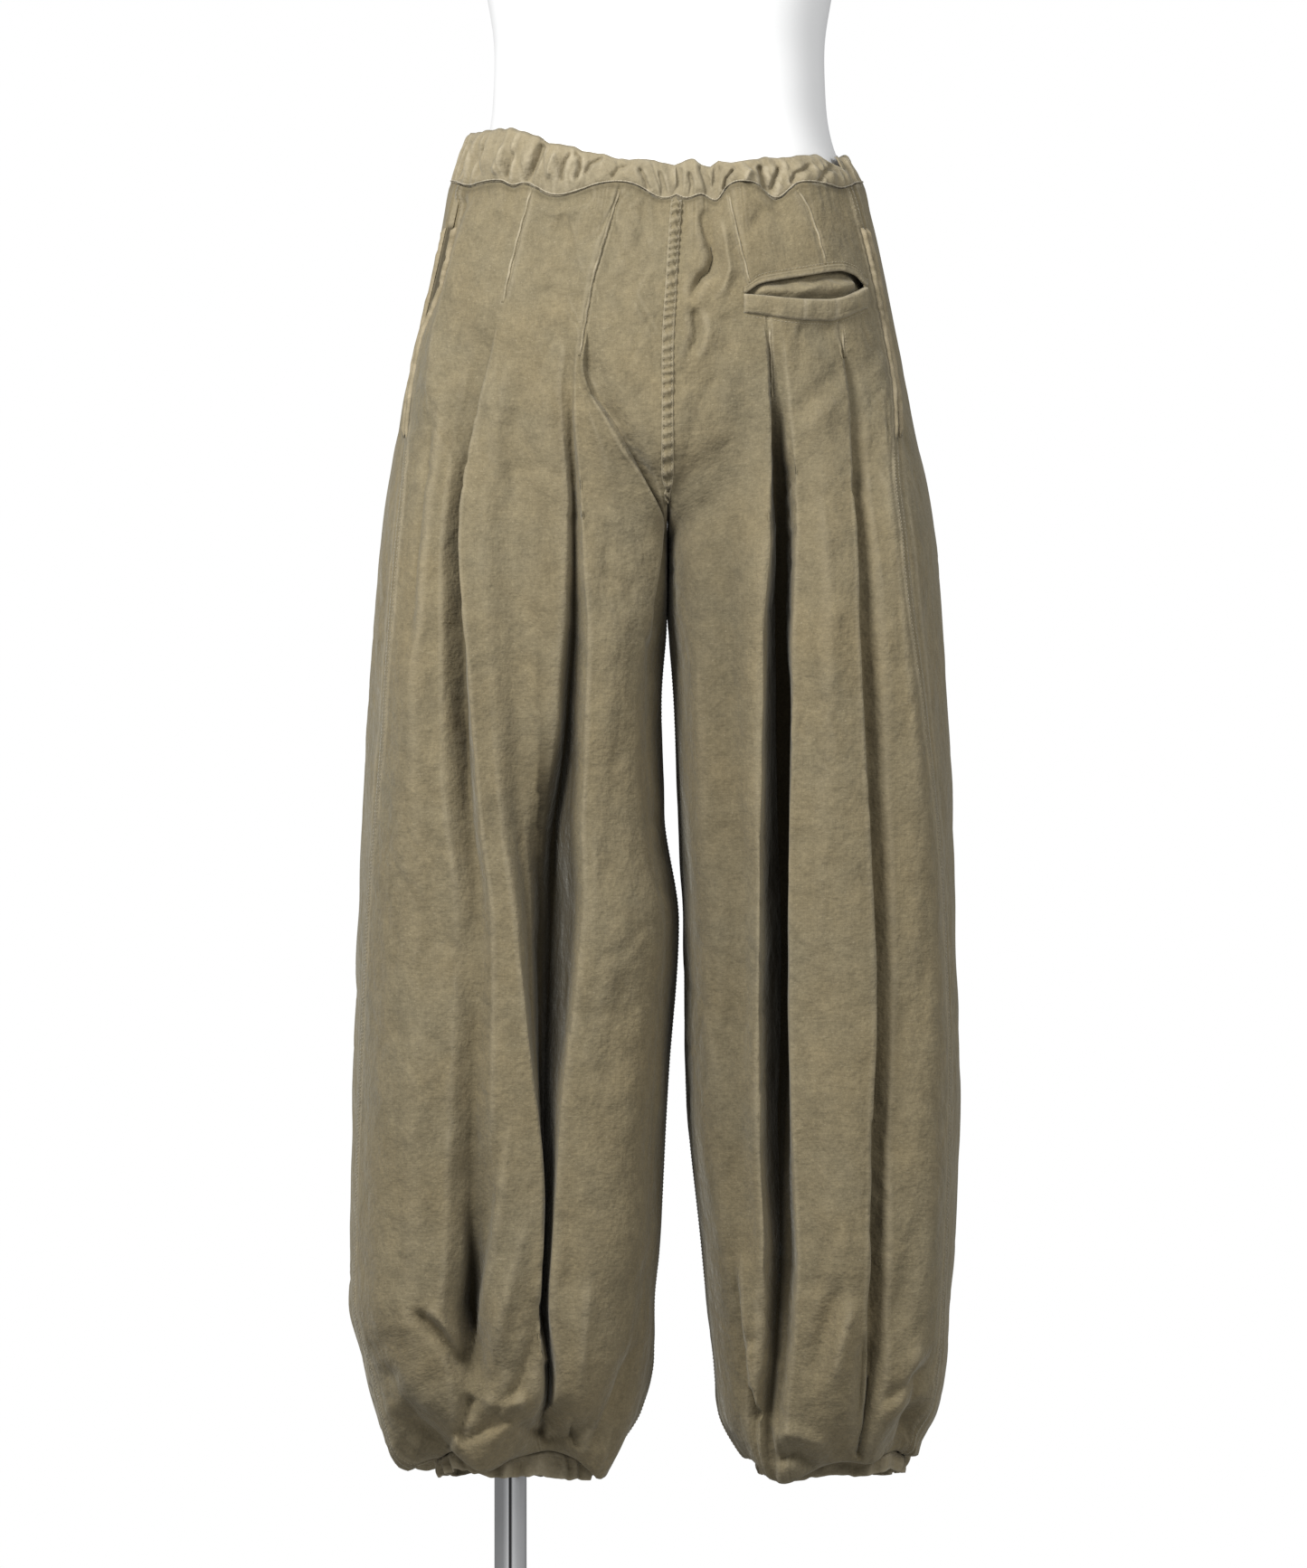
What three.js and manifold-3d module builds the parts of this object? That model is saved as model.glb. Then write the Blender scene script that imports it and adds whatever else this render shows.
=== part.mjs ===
// Wide pleated work trousers with a gathered waist casing and drawn-in hems, seen from the back at -Y.
// They are worn by a limbless torso form on an off-centre pole and a round foot.
// Millimetres, +Z up, +X towards the wearer's right, +Y towards the wearer's front, origin on the floor.
import * as THREE from "three";
import { mergeVertices } from "three/addons/utils/BufferGeometryUtils.js";
import Module from "manifold-3d";

const wasm = await Module();
wasm.setup();

// Driving dimensions
const wall = 1.5;
const seamGap = 0.3;
const sharpestBend = 0.5;
const waistLevel = 1138;
const seatEndLevel = 960;
const crotchLevel = 868;
const legBlendStart = 1050;
const legBlendEnd = 780;
const hemLevel = 135;
const dartEndHigh = 1036;
const dartEndLow = 1000;
const casingHeight = 13;
const torsoSquareness = 0.03;
const legSquareness = 0.06;
const bandWall = 2.4;
const bandTaper = 0.075;
const bandGathers = 32;
const gatherDepth = 8;
const casingWall = 2.2;
const casingGathers = 22;
const trimWall = 1.2;
const strapHalfWidth = 5.2;
const strapEnd = 915;
const poleX = -113.8;
const poleRadius = 12.5;
const footRadius = 190;
const footThickness = 6;
const formX = 1.4;
const formSquareness = 0.03;

const LEFT = -1;
const RIGHT = 1;

// Outline of the cloth at each level, from the waist seam down to the hem casing.
// in and out are the x of a leg's inner and outer side, back and front its reach from the form's axis.
const sectionColumns = ["level", "z", "seam", "leftOut", "leftIn", "rightIn", "rightOut", "back", "front"];
const sectionRows = [
  [1138, 1143, 14.7, -160, 14.7, 14.7, 159, 112, 108],
  [1075, 1075, 11, -174, 11, 11, 175, 132, 118],
  [1005, 1005, 7.7, -190, 7.5, 7.9, 188, 145, 124],
  [960, 960, 7.7, -199, 7.2, 8.2, 197, 149, 127],
  [868, 868, 7.7, -212, 6.7, 8.7, 214, 150, 130],
  [739, 739, 7.7, -222, 3, 12.6, 223, 148, 132],
  [655, 655, 7.7, -226, 5, 16, 226, 147, 133],
  [571, 571, 7.7, -229.5, 16.5, 20, 228, 146, 134],
  [445, 445, 7.7, -234, 8, 22, 232, 145, 135],
  [319, 319, 7.7, -237, 1.5, 34, 228.5, 141, 134],
  [277, 277, 7.7, -238, -2.5, 38, 226, 137, 130],
  [235, 235, 7.7, -228, -3, 43, 224, 129, 122],
  [193, 193, 7.7, -217, -13, 47, 217, 114, 107],
  [165, 166, 7.7, -206, -30, 60, 205, 92, 86],
  [150, 156, 7.7, -190, -37, 69, 201, 76, 70],
  [135, 158, 7.7, -172, -43, 76, 193, 60, 56],
];

// Creases of the back panels, in order from the centre seam to the side seam.
// across is the share of the way from the leg's inner to its outer side, and depth is how far the cloth
// lies inside the smooth outline, both at each of these levels. crisp is 0 on a soft roll, 1 on a sharp edge.
const creaseLevels = [1138, 1005, 890, 739, 560, 340, 165];
const backLeftCreases = [
  { name: "centre seam", across: [0, 0, 0, 0, 0, 0, 0], depth: [0, 0, 0, 0, 0, 0, 0], crisp: 0, cells: 2 },
  { name: "seat", across: [0.12, 0.15, 0.015, 0.015, 0.015, 0.015, 0.03], depth: [0, 0, 0, 0, 0, 0, 0], crisp: 0, cells: 2 },
  { name: "flap tuck", across: [0.2, 0.312, 0.03, 0.04, 0.04, 0.035, 0.08], depth: [0, 3.5, 8, 2, 1, 1, 1], crisp: 0.3, cells: 1 },
  { name: "flap edge", across: [0.24, 0.33, 0.062, 0.1, 0.085, 0.06, 0.12], depth: [0, -1, -4, -3, -2, -2, 0], crisp: 0.5, cells: 3 },
  { name: "flap", across: [0.28, 0.344, 0.17, 0.18, 0.19, 0.2, 0.22], depth: [0, 0, -4, -5, -5, -5, -3], crisp: 0, cells: 2 },
  { name: "inner pleat edge", across: [0.31, 0.357, 0.308, 0.258, 0.304, 0.344, 0.32], depth: [0, 0, -2, -2, 0, 0, 2], crisp: 0.8, cells: 2 },
  { name: "inner pleat trough", across: [0.34, 0.377, 0.318, 0.289, 0.375, 0.356, 0.33], depth: [0, 3, 14, 30, 64, 50, 8], crisp: 0.3, cells: 2 },
  { name: "inner pleat rise", across: [0.38, 0.42, 0.36, 0.36, 0.425, 0.362, 0.345], depth: [0, 0, 3, 6, 48, 42, 7], crisp: 0, cells: 2 },
  { name: "soft valley", across: [0.45, 0.52, 0.55, 0.484, 0.463, 0.367, 0.36], depth: [0, 2, 8, 13, 24, 20, 4], crisp: 0, cells: 2 },
  { name: "narrow ridge", across: [0.55, 0.62, 0.66, 0.585, 0.506, 0.374, 0.39], depth: [0, 0, -1, 1, -1, -1, -1], crisp: 0.2, cells: 1 },
  { name: "outer pleat edge", across: [0.63, 0.7, 0.734, 0.652, 0.582, 0.542, 0.5], depth: [0, 0, -3, -4, -1, 1, 0], crisp: 0.8, cells: 2 },
  { name: "outer pleat trough", across: [0.66, 0.712, 0.75, 0.69, 0.628, 0.624, 0.64], depth: [0, 5, 24, 27, 13, 26, 8], crisp: 0.3, cells: 2 },
  { name: "outer pleat slope", across: [0.74, 0.8, 0.81, 0.77, 0.71, 0.7, 0.73], depth: [0, 1, 5, 6, 3, 3, 2], crisp: 0, cells: 2 },
  { name: "outer ridge", across: [0.82, 0.88, 0.87, 0.85, 0.82, 0.82, 0.83], depth: [0, -2, -4, -4, -4, -4, -2], crisp: 0, cells: 2 },
  { name: "side ridge", across: [0.92, 0.945, 0.93, 0.925, 0.955, 0.965, 0.95], depth: [0, -1, -1, -1, 0, 0, 0], crisp: 0.3, cells: 1 },
  { name: "side seam", across: [0.972, 0.979, 0.955, 0.953, 0.98, 0.985, 0.98], depth: [0, 0, 0, 0, 0, 0, 0], crisp: 0, cells: 0 },
];
const backRightCreases = [
  { name: "centre seam", across: [0, 0, 0, 0, 0, 0, 0], depth: [0, 0, 0, 0, 0, 0, 0], crisp: 0, cells: 2 },
  { name: "seat", across: [0.1, 0.12, 0.03, 0.02, 0.02, 0.02, 0.03], depth: [0, 0, 0, 0, 0, 0, 0], crisp: 0, cells: 2 },
  { name: "inner corner", across: [0.18, 0.24, 0.1, 0.09, 0.09, 0.08, 0.12], depth: [0, 0, -1, -2, -2, -2, 0], crisp: 0, cells: 2 },
  { name: "inner valley", across: [0.21, 0.33, 0.24, 0.19, 0.2, 0.16, 0.14], depth: [0, 1, 4, 6, 7, 6, 3], crisp: 0, cells: 2 },
  { name: "inner pleat edge", across: [0.251, 0.432, 0.391, 0.327, 0.284, 0.253, 0.16], depth: [0, 0, -3, -4, -4, -2, 0], crisp: 0.7, cells: 2 },
  { name: "inner pleat trough", across: [0.27, 0.446, 0.405, 0.342, 0.298, 0.265, 0.18], depth: [0, 6, 30, 56, 62, 34, 8], crisp: 0.4, cells: 1 },
  { name: "inner pleat floor", across: [0.3, 0.462, 0.445, 0.4, 0.36, 0.335, 0.23], depth: [0, 5, 26, 52, 58, 26, 6], crisp: 0.4, cells: 2 },
  { name: "inner pleat lip", across: [0.36, 0.51, 0.49, 0.435, 0.388, 0.385, 0.3], depth: [0, 0, 2, 2, 2, 0, 0], crisp: 0.3, cells: 2 },
  { name: "middle panel", across: [0.55, 0.63, 0.595, 0.56, 0.54, 0.53, 0.49], depth: [0, -1, -4, -6, -6, -5, -3], crisp: 0, cells: 2 },
  { name: "outer pleat edge", across: [0.7, 0.76, 0.709, 0.693, 0.705, 0.665, 0.65], depth: [0, 0, -2, -3, -3, -3, 0], crisp: 0.8, cells: 2 },
  { name: "outer pleat trough", across: [0.72, 0.771, 0.726, 0.71, 0.724, 0.684, 0.67], depth: [0, 5, 13, 17, 19, 21, 9], crisp: 0.3, cells: 2 },
  { name: "outer pleat slope", across: [0.8, 0.85, 0.79, 0.79, 0.8, 0.76, 0.76], depth: [0, 1, 4, 6, 7, 5, 2], crisp: 0, cells: 2 },
  { name: "outer ridge", across: [0.88, 0.92, 0.845, 0.87, 0.915, 0.9, 0.9], depth: [0, -1, -3, -4, -3, -3, -1], crisp: 0, cells: 2 },
  { name: "side seam", across: [0.945, 0.955, 0.893, 0.924, 0.972, 0.97, 0.97], depth: [0, 0, 0, 0, 0, 0, 0], crisp: 0, cells: 0 },
];

// Creases of the front panels, in order from the side seam to the centre front.
// around is the share of the way round the half from centre back to centre front, at each of these levels.
const frontLevels = [1138, 890, 560, 165];
const frontLeftCreases = [
  { name: "side", around: [0.5, 0.5, 0.5, 0.5], depth: [0, -1, -2, 0], crisp: 0, cells: 2 },
  { name: "side pleat edge", around: [0.555, 0.562, 0.568, 0.57], depth: [0, -3, -4, 0], crisp: 0.7, cells: 1 },
  { name: "side pleat trough", around: [0.568, 0.577, 0.584, 0.584], depth: [0, 16, 24, 8], crisp: 0.3, cells: 1 },
  { name: "side pleat slope", around: [0.6, 0.612, 0.618, 0.61], depth: [0, 2, 5, 2], crisp: 0, cells: 2 },
  { name: "thigh ridge", around: [0.65, 0.66, 0.665, 0.65], depth: [0, -3, -5, -2], crisp: 0, cells: 2 },
  { name: "front pleat edge", around: [0.7, 0.71, 0.7, 0.7], depth: [0, -3, -4, 0], crisp: 0.7, cells: 1 },
  { name: "front pleat trough", around: [0.712, 0.724, 0.718, 0.716], depth: [0, 20, 42, 10], crisp: 0.4, cells: 1 },
  { name: "front pleat lip", around: [0.745, 0.756, 0.765, 0.75], depth: [0, 0, 2, 0], crisp: 0.3, cells: 1 },
  { name: "shin panel", around: [0.8, 0.815, 0.825, 0.81], depth: [0, -4, -6, -3], crisp: 0, cells: 2 },
  { name: "centre pleat edge", around: [0.86, 0.87, 0.865, 0.87], depth: [0, -2, -3, 0], crisp: 0.6, cells: 1 },
  { name: "centre pleat trough", around: [0.872, 0.884, 0.88, 0.882], depth: [0, 9, 14, 5], crisp: 0.3, cells: 1 },
  { name: "inner corner", around: [0.925, 0.93, 0.93, 0.93], depth: [0, -1, -2, 0], crisp: 0, cells: 2 },
  { name: "front seam", around: [1, 1, 1, 1], depth: [0, 0, 0, 0], crisp: 0, cells: 0 },
];
const frontRightCreases = [
  { name: "side", around: [0.5, 0.5, 0.5, 0.5], depth: [0, -1, -2, 0], crisp: 0, cells: 2 },
  { name: "side pleat edge", around: [0.545, 0.552, 0.556, 0.56], depth: [0, -3, -4, 0], crisp: 0.7, cells: 1 },
  { name: "side pleat trough", around: [0.558, 0.566, 0.572, 0.574], depth: [0, 13, 20, 7], crisp: 0.3, cells: 1 },
  { name: "side pleat slope", around: [0.6, 0.6, 0.606, 0.61], depth: [0, 2, 4, 2], crisp: 0, cells: 2 },
  { name: "thigh ridge", around: [0.65, 0.65, 0.65, 0.65], depth: [0, -3, -5, -2], crisp: 0, cells: 2 },
  { name: "front pleat edge", around: [0.69, 0.695, 0.685, 0.69], depth: [0, -3, -4, 0], crisp: 0.7, cells: 1 },
  { name: "front pleat trough", around: [0.703, 0.709, 0.702, 0.705], depth: [0, 24, 50, 10], crisp: 0.4, cells: 1 },
  { name: "front pleat lip", around: [0.735, 0.742, 0.748, 0.74], depth: [0, 0, 2, 0], crisp: 0.3, cells: 1 },
  { name: "shin panel", around: [0.8, 0.805, 0.81, 0.8], depth: [0, -4, -6, -3], crisp: 0, cells: 2 },
  { name: "centre pleat edge", around: [0.85, 0.86, 0.855, 0.86], depth: [0, -2, -3, 0], crisp: 0.6, cells: 1 },
  { name: "centre pleat trough", around: [0.862, 0.874, 0.871, 0.873], depth: [0, 10, 17, 5], crisp: 0.3, cells: 1 },
  { name: "inner corner", around: [0.92, 0.925, 0.93, 0.93], depth: [0, -1, -2, 0], crisp: 0, cells: 2 },
  { name: "front seam", around: [1, 1, 1, 1], depth: [0, 0, 0, 0], crisp: 0, cells: 0 },
];

// Puckers under the waist casing: how far each pulls the waist seam down and in, and how wide it is.
const puckerColumns = ["side", "around", "drop", "pinch", "width"];
const puckerRows = [
  [LEFT, 0.015, 14, 3, 0.03],
  [LEFT, 0.157, 12, 4, 0.045],
  [LEFT, 0.24, 4, 2, 0.015],
  [LEFT, 0.36, 4, 2, 0.05],
  [LEFT, 0.6, 9, 3, 0.03],
  [LEFT, 0.71, 6, 3, 0.03],
  [LEFT, 0.84, 12, 4, 0.03],
  [LEFT, 0.95, 7, 3, 0.025],
  [RIGHT, 0.015, 14, 3, 0.03],
  [RIGHT, 0.06, 14, 5, 0.018],
  [RIGHT, 0.165, 14, 4, 0.028],
  [RIGHT, 0.33, 5, 2, 0.06],
  [RIGHT, 0.58, 8, 3, 0.03],
  [RIGHT, 0.7, 7, 3, 0.035],
  [RIGHT, 0.81, 10, 4, 0.03],
  [RIGHT, 0.93, 8, 3, 0.025],
];
const puckerFade = 38;

// Where the bottom of each leg droops in a lobe, and where it is drawn up between them (less than 0).
const droopColumns = ["side", "around", "drop", "width"];
const droopRows = [
  [LEFT, 0.12, 18, 0.042],
  [LEFT, 0.196, -13, 0.022],
  [LEFT, 0.255, 13, 0.035],
  [LEFT, 0.326, -10, 0.022],
  [LEFT, 0.385, 8, 0.045],
  [LEFT, 0.53, -6, 0.03],
  [LEFT, 0.62, 13, 0.05],
  [LEFT, 0.716, -9, 0.025],
  [LEFT, 0.8, 15, 0.05],
  [LEFT, 0.885, -5, 0.022],
  [RIGHT, 0.165, 21, 0.06],
  [RIGHT, 0.205, 6, 0.03],
  [RIGHT, 0.265, -3, 0.02],
  [RIGHT, 0.33, 9, 0.04],
  [RIGHT, 0.43, -10, 0.04],
  [RIGHT, 0.5, 5, 0.04],
  [RIGHT, 0.575, -7, 0.025],
  [RIGHT, 0.64, 14, 0.05],
  [RIGHT, 0.707, -9, 0.025],
  [RIGHT, 0.79, 14, 0.05],
  [RIGHT, 0.875, -5, 0.022],
];
const droopStart = 215;
const droopLowest = 160;

// Height of the waist casing round each half, from centre back to centre front.
const bandColumns = ["around", "left", "right"];
const bandRows = [
  [0, 27, 27],
  [0.15, 25, 33],
  [0.3, 37, 24],
  [0.42, 39, 21],
  [0.6, 34, 24],
  [0.8, 31, 29],
  [1, 30, 30],
];

// The back pocket on the wearer's right: x, the welt's lower and upper edge, and the mouth's upper edge.
const pocketColumns = ["x", "weltLow", "weltHigh", "mouthHigh"];
const pocketRows = [
  [68, 1041, 1056, 1058.5],
  [80, 1039.5, 1055, 1066],
  [101, 1036.5, 1052.8, 1070],
  [117, 1035.5, 1052, 1072.5],
  [131, 1035, 1052, 1075],
  [141, 1037, 1053.5, 1076],
  [152, 1041.5, 1058, 1073],
  [160, 1045, 1062, 1065],
];

// The side pocket openings run down the side seams between these levels.
const sidePocketLevels = [1108, 945];

// The torso form, from its flat underside to the top of its neck.
const formColumns = ["z", "halfWidth", "back", "front"];
const formRows = [
  [955, 148, 96, 90],
  [963, 156, 103, 96],
  [985, 163, 111, 101],
  [1040, 166.5, 118, 105],
  [1090, 161.5, 114, 104],
  [1126, 152.5, 107, 101],
  [1145, 146, 102, 98.5],
  [1170, 134.5, 95, 95],
  [1200, 129, 90, 94],
  [1243, 127.5, 88, 95],
  [1290, 134, 91, 102],
  [1360, 148, 98, 113],
  [1425, 161, 104, 120],
  [1485, 170, 106, 113],
  [1535, 177, 102, 96],
  [1570, 176, 90, 78],
  [1594, 156, 74, 63],
  [1612, 112, 63, 55],
  [1632, 72, 55, 51],
  [1655, 58, 51, 50],
  [1700, 55, 50, 50],
];

// A table's rows as objects with named columns.
function named(columns, rows) {
  return rows.map((row) => Object.fromEntries(columns.map((name, i) => [name, row[i]])));
}

// A smooth curve through values at given places, with no overshoot between them.
function smoothCurve(places, values) {
  const order = places.map((_, i) => i).sort((a, b) => places[a] - places[b]);
  const x = order.map((i) => places[i]);
  const y = order.map((i) => values[i]);
  const last = x.length - 1;
  const rise = x.slice(1).map((_, i) => (y[i + 1] - y[i]) / (x[i + 1] - x[i]));
  const slope = x.map((_, i) => {
    if (i === 0 || i === last) return rise[Math.min(i, last - 1)];
    if (rise[i - 1] * rise[i] <= 0) return 0;
    return (2 * rise[i - 1] * rise[i]) / (rise[i - 1] + rise[i]);
  });
  return (at) => {
    const place = Math.min(Math.max(at, x[0]), x[last]);
    let i = 0;
    while (i < last - 1 && place > x[i + 1]) i += 1;
    const step = x[i + 1] - x[i];
    const t = (place - x[i]) / step;
    return hermite(t, y[i], y[i + 1], slope[i] * step, slope[i + 1] * step);
  };
}

function hermite(t, from, to, startSlope, endSlope) {
  const tt = t * t;
  const ttt = tt * t;
  return (2 * ttt - 3 * tt + 1) * from + (ttt - 2 * tt + t) * startSlope
    + (3 * tt - 2 * ttt) * to + (ttt - tt) * endSlope;
}

function curvesOf(columns, rows, key) {
  const table = named(columns, rows);
  const places = table.map((row) => row[key]);
  return Object.fromEntries(columns.map((name) => [name, smoothCurve(places, table.map((row) => row[name]))]));
}

const section = curvesOf(sectionColumns, sectionRows, "level");
const formSection = curvesOf(formColumns, formRows, "z");
const puckers = named(puckerColumns, puckerRows);

// A circle pressed towards a rounded square: the sine and cosine of an angle on it.
function roundedSquare(angle, squareness) {
  return {
    sin: (Math.sin(angle) + squareness * Math.sin(3 * angle)) / (1 - squareness),
    cos: (Math.cos(angle) - squareness * Math.cos(3 * angle)) / (1 - squareness),
  };
}

// How far the legs have parted at a place: 0 in the seat and 1 below the crotch. The seam itself turns in
// a quarter circle, and the cloth to either side of it follows over a longer way.
function parting(level, around) {
  const turn = THREE.MathUtils.clamp((seatEndLevel - level) / (seatEndLevel - crotchLevel), 0, 1) * (Math.PI / 2);
  const atSeam = 1 - THREE.MathUtils.smoothstep(Math.min(around, 1 - around), 0, 0.17);
  const wide = THREE.MathUtils.smoothstep(legBlendStart - level, 0, legBlendStart - legBlendEnd);
  const linear = seatEndLevel - THREE.MathUtils.clamp(level, crotchLevel, seatEndLevel);
  return {
    share: atSeam * (1 - Math.cos(turn)) + (1 - atSeam) * wide,
    drop: atSeam * ((seatEndLevel - crotchLevel) * Math.sin(turn) - linear),
  };
}

// A point of the smooth outline of one half, in plan. around runs from 0 at the centre back or inseam,
// by the outer side, to 1 at the centre front or inseam.
function outline(side, level, around) {
  const out = side === LEFT ? section.leftOut(level) : section.rightOut(level);
  const inner = side === LEFT ? section.leftIn(level) : section.rightIn(level);
  const seam = section.seam(level) + (side * seamGap) / 2;
  const back = section.back(level);
  const front = section.front(level);
  const seat = roundedSquare(Math.PI * around, torsoSquareness);
  const leg = roundedSquare(2 * Math.PI * around - Math.PI / 2, legSquareness);
  const { share } = parting(level, around);
  const seatY = seat.cos > 0 ? -back * seat.cos : -front * seat.cos;
  const legY = (front - back) / 2 - ((front + back) / 2) * leg.cos;
  return new THREE.Vector2(
    (1 - share) * (seam + (out - seam) * seat.sin) + share * ((inner + out) / 2 + ((out - inner) / 2) * leg.sin),
    (1 - share) * seatY + share * legY,
  );
}

function outwardOf(side, level, around) {
  const step = 1e-3;
  const along = outline(side, level, around + step).sub(outline(side, level, around - step));
  return new THREE.Vector2(side * along.y, -side * along.x).normalize();
}

// The place round the back of a half that lies at a share of the way across it.
function aroundAt(side, level, across) {
  const innerX = outline(side, level, 0).x;
  const outerX = outline(side, level, 0.5).x;
  const wanted = innerX + across * (outerX - innerX);
  let low = 0;
  let high = 0.5;
  for (let i = 0; i < 30; i += 1) {
    const middle = (low + high) / 2;
    if ((outline(side, level, middle).x - wanted) * side < 0) low = middle;
    else high = middle;
  }
  return (low + high) / 2;
}

function bump(distance, width) {
  return Math.exp(-((distance / width) ** 2));
}

// How far the puckers pull the cloth down and in at a place, and how far the hem droops there.
function puckerAt(side, level, around) {
  const fade = Math.exp(-(waistLevel - level) / puckerFade);
  let drop = 0;
  let pinch = 0;
  for (const p of puckers) {
    if (p.side !== side) continue;
    const share = fade * bump(around - p.around, p.width);
    drop += p.drop * share;
    pinch += p.pinch * share;
  }
  return { drop, pinch };
}

function droopAt(side, level, around) {
  const share = THREE.MathUtils.smoothstep(droopStart - level, 0, droopStart - droopLowest)
    - 0.8 * THREE.MathUtils.smoothstep(droopLowest - level, 0, droopLowest - hemLevel);
  return named(droopColumns, droopRows)
    .filter((d) => d.side === side)
    .reduce((sum, d) => sum + share * d.drop * bump(around - d.around, d.width), 0);
}

// A point of the cloth's outer face: depth is how far it lies inside the smooth outline.
function clothPoint(side, level, around, depth) {
  const pull = puckerAt(side, level, around);
  const plan = outline(side, level, around).addScaledVector(outwardOf(side, level, around), -depth - pull.pinch);
  const z = section.z(level) - parting(level, around).drop - pull.drop - droopAt(side, level, around);
  return new THREE.Vector3(plan.x, plan.y, z);
}

// Crease curves of a panel, each giving its place round the half and its depth at a level.
function backCurves(side, creases) {
  return creases.map((c) => {
    const across = smoothCurve(creaseLevels, c.across);
    return { ...c, place: (level) => aroundAt(side, level, across(level)), depthAt: smoothCurve(creaseLevels, c.depth) };
  });
}

function frontCurves(creases, sideSeam) {
  const curves = creases.map((c) => ({
    ...c,
    place: smoothCurve(frontLevels, c.around),
    depthAt: smoothCurve(frontLevels, c.depth),
  }));
  return [{ ...sideSeam, cells: 2 }, ...curves];
}

// Folds open below the stitched darts of the seat and die out where the cloth turns in to the hem casing.
function foldShare(level) {
  const below = 1 - THREE.MathUtils.smoothstep(level, dartEndLow, dartEndHigh);
  return below * THREE.MathUtils.smoothstep(level, hemLevel + 5, hemLevel + 75);
}

// One row of a panel at a level, as places round the half with their depths.
function creasedRow(curves, level) {
  const row = [];
  curves.forEach((from, i) => {
    const to = curves[i + 1];
    const start = { around: from.place(level), depth: from.depthAt(level) * foldShare(level) };
    if (!to) {
      row.push(start);
      return;
    }
    const end = { around: to.place(level), depth: to.depthAt(level) * foldShare(level) };
    const change = end.depth - start.depth;
    for (let k = 0; k < from.cells; k += 1) {
      const t = k / from.cells;
      row.push({
        around: start.around + (end.around - start.around) * t,
        depth: hermite(t, start.depth, end.depth, change * from.crisp, change * to.crisp),
      });
    }
  });
  return row;
}

// Solids

// A closed solid from two equal grids of points, grid[row][column], one on each face of a wall.
// A ring's columns close on themselves.
function wallSolid(outer, inner, isRing = false) {
  const rows = outer.length;
  const columns = outer[0].length;
  const count = rows * columns;
  const points = [...outer.flat(), ...inner.flat()];
  const faces = [];
  const quad = (a, b, c, d) => faces.push(a, b, c, a, c, d);
  const at = (row, column) => row * columns + (column % columns);
  const across = isRing ? columns : columns - 1;
  for (let r = 0; r < rows - 1; r += 1) {
    for (let c = 0; c < across; c += 1) {
      quad(at(r, c), at(r + 1, c), at(r + 1, c + 1), at(r, c + 1));
      quad(count + at(r, c), count + at(r, c + 1), count + at(r + 1, c + 1), count + at(r + 1, c));
    }
  }
  for (let c = 0; c < across; c += 1) {
    quad(at(0, c), at(0, c + 1), count + at(0, c + 1), count + at(0, c));
    quad(at(rows - 1, c + 1), at(rows - 1, c), count + at(rows - 1, c), count + at(rows - 1, c + 1));
  }
  if (!isRing) {
    for (let r = 0; r < rows - 1; r += 1) {
      quad(at(r + 1, 0), at(r, 0), count + at(r, 0), count + at(r + 1, 0));
      quad(at(r, columns - 1), at(r + 1, columns - 1), count + at(r + 1, columns - 1), count + at(r, columns - 1));
    }
  }
  return facingOut(points, faces);
}

function facingOut(points, faces) {
  let volume = 0;
  for (let i = 0; i < faces.length; i += 3) {
    const [a, b, c] = [points[faces[i]], points[faces[i + 1]], points[faces[i + 2]]];
    volume += a.dot(b.clone().cross(c));
  }
  if (volume < 0) for (let i = 0; i < faces.length; i += 3) [faces[i], faces[i + 1]] = [faces[i + 1], faces[i]];
  const geometry = new THREE.BufferGeometry().setFromPoints(points);
  geometry.setIndex(faces);
  geometry.computeVertexNormals();
  return geometry;
}

function manifoldOf(geometry) {
  const bare = geometry.clone();
  bare.deleteAttribute("normal");
  bare.deleteAttribute("uv");
  const merged = mergeVertices(bare, 1e-4);
  return new wasm.Manifold(new wasm.Mesh({
    numProp: 3,
    vertProperties: merged.attributes.position.array,
    triVerts: new Uint32Array(merged.index.array),
  }));
}

function geometryOf(solid) {
  const mesh = solid.getMesh();
  const geometry = new THREE.BufferGeometry();
  geometry.setAttribute("position", new THREE.BufferAttribute(mesh.vertProperties, 3));
  geometry.setIndex(new THREE.BufferAttribute(mesh.triVerts, 1));
  geometry.computeVertexNormals();
  return geometry;
}

// The outward direction at each point of a grid, as long as it takes for a wall of thickness 1 to keep its
// thickness round a bend. Where tangents are given, they stand in at the first and last columns, so that
// both sides of a seam share one direction.
function outwardGrid(grid, sign, tangents) {
  return grid.map((row, r) => row.map((point, c) => {
    const last = row.length - 1;
    const before = c === 0 ? row[1].clone().sub(point) : point.clone().sub(row[c - 1]);
    const after = c === last ? before : row[c + 1].clone().sub(point);
    const down = grid[Math.min(r + 1, grid.length - 1)][c].clone().sub(grid[Math.max(r - 1, 0)][c]);
    if (tangents && (c === 0 || c === last)) {
      return tangents[r][c === 0 ? 0 : 1].clone().cross(down).multiplyScalar(sign).normalize();
    }
    const one = before.cross(down).normalize();
    const other = after.clone().cross(down).normalize();
    const middle = one.clone().add(other).normalize();
    return middle.multiplyScalar(sign / Math.max(middle.dot(one), sharpestBend));
  }));
}

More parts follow.
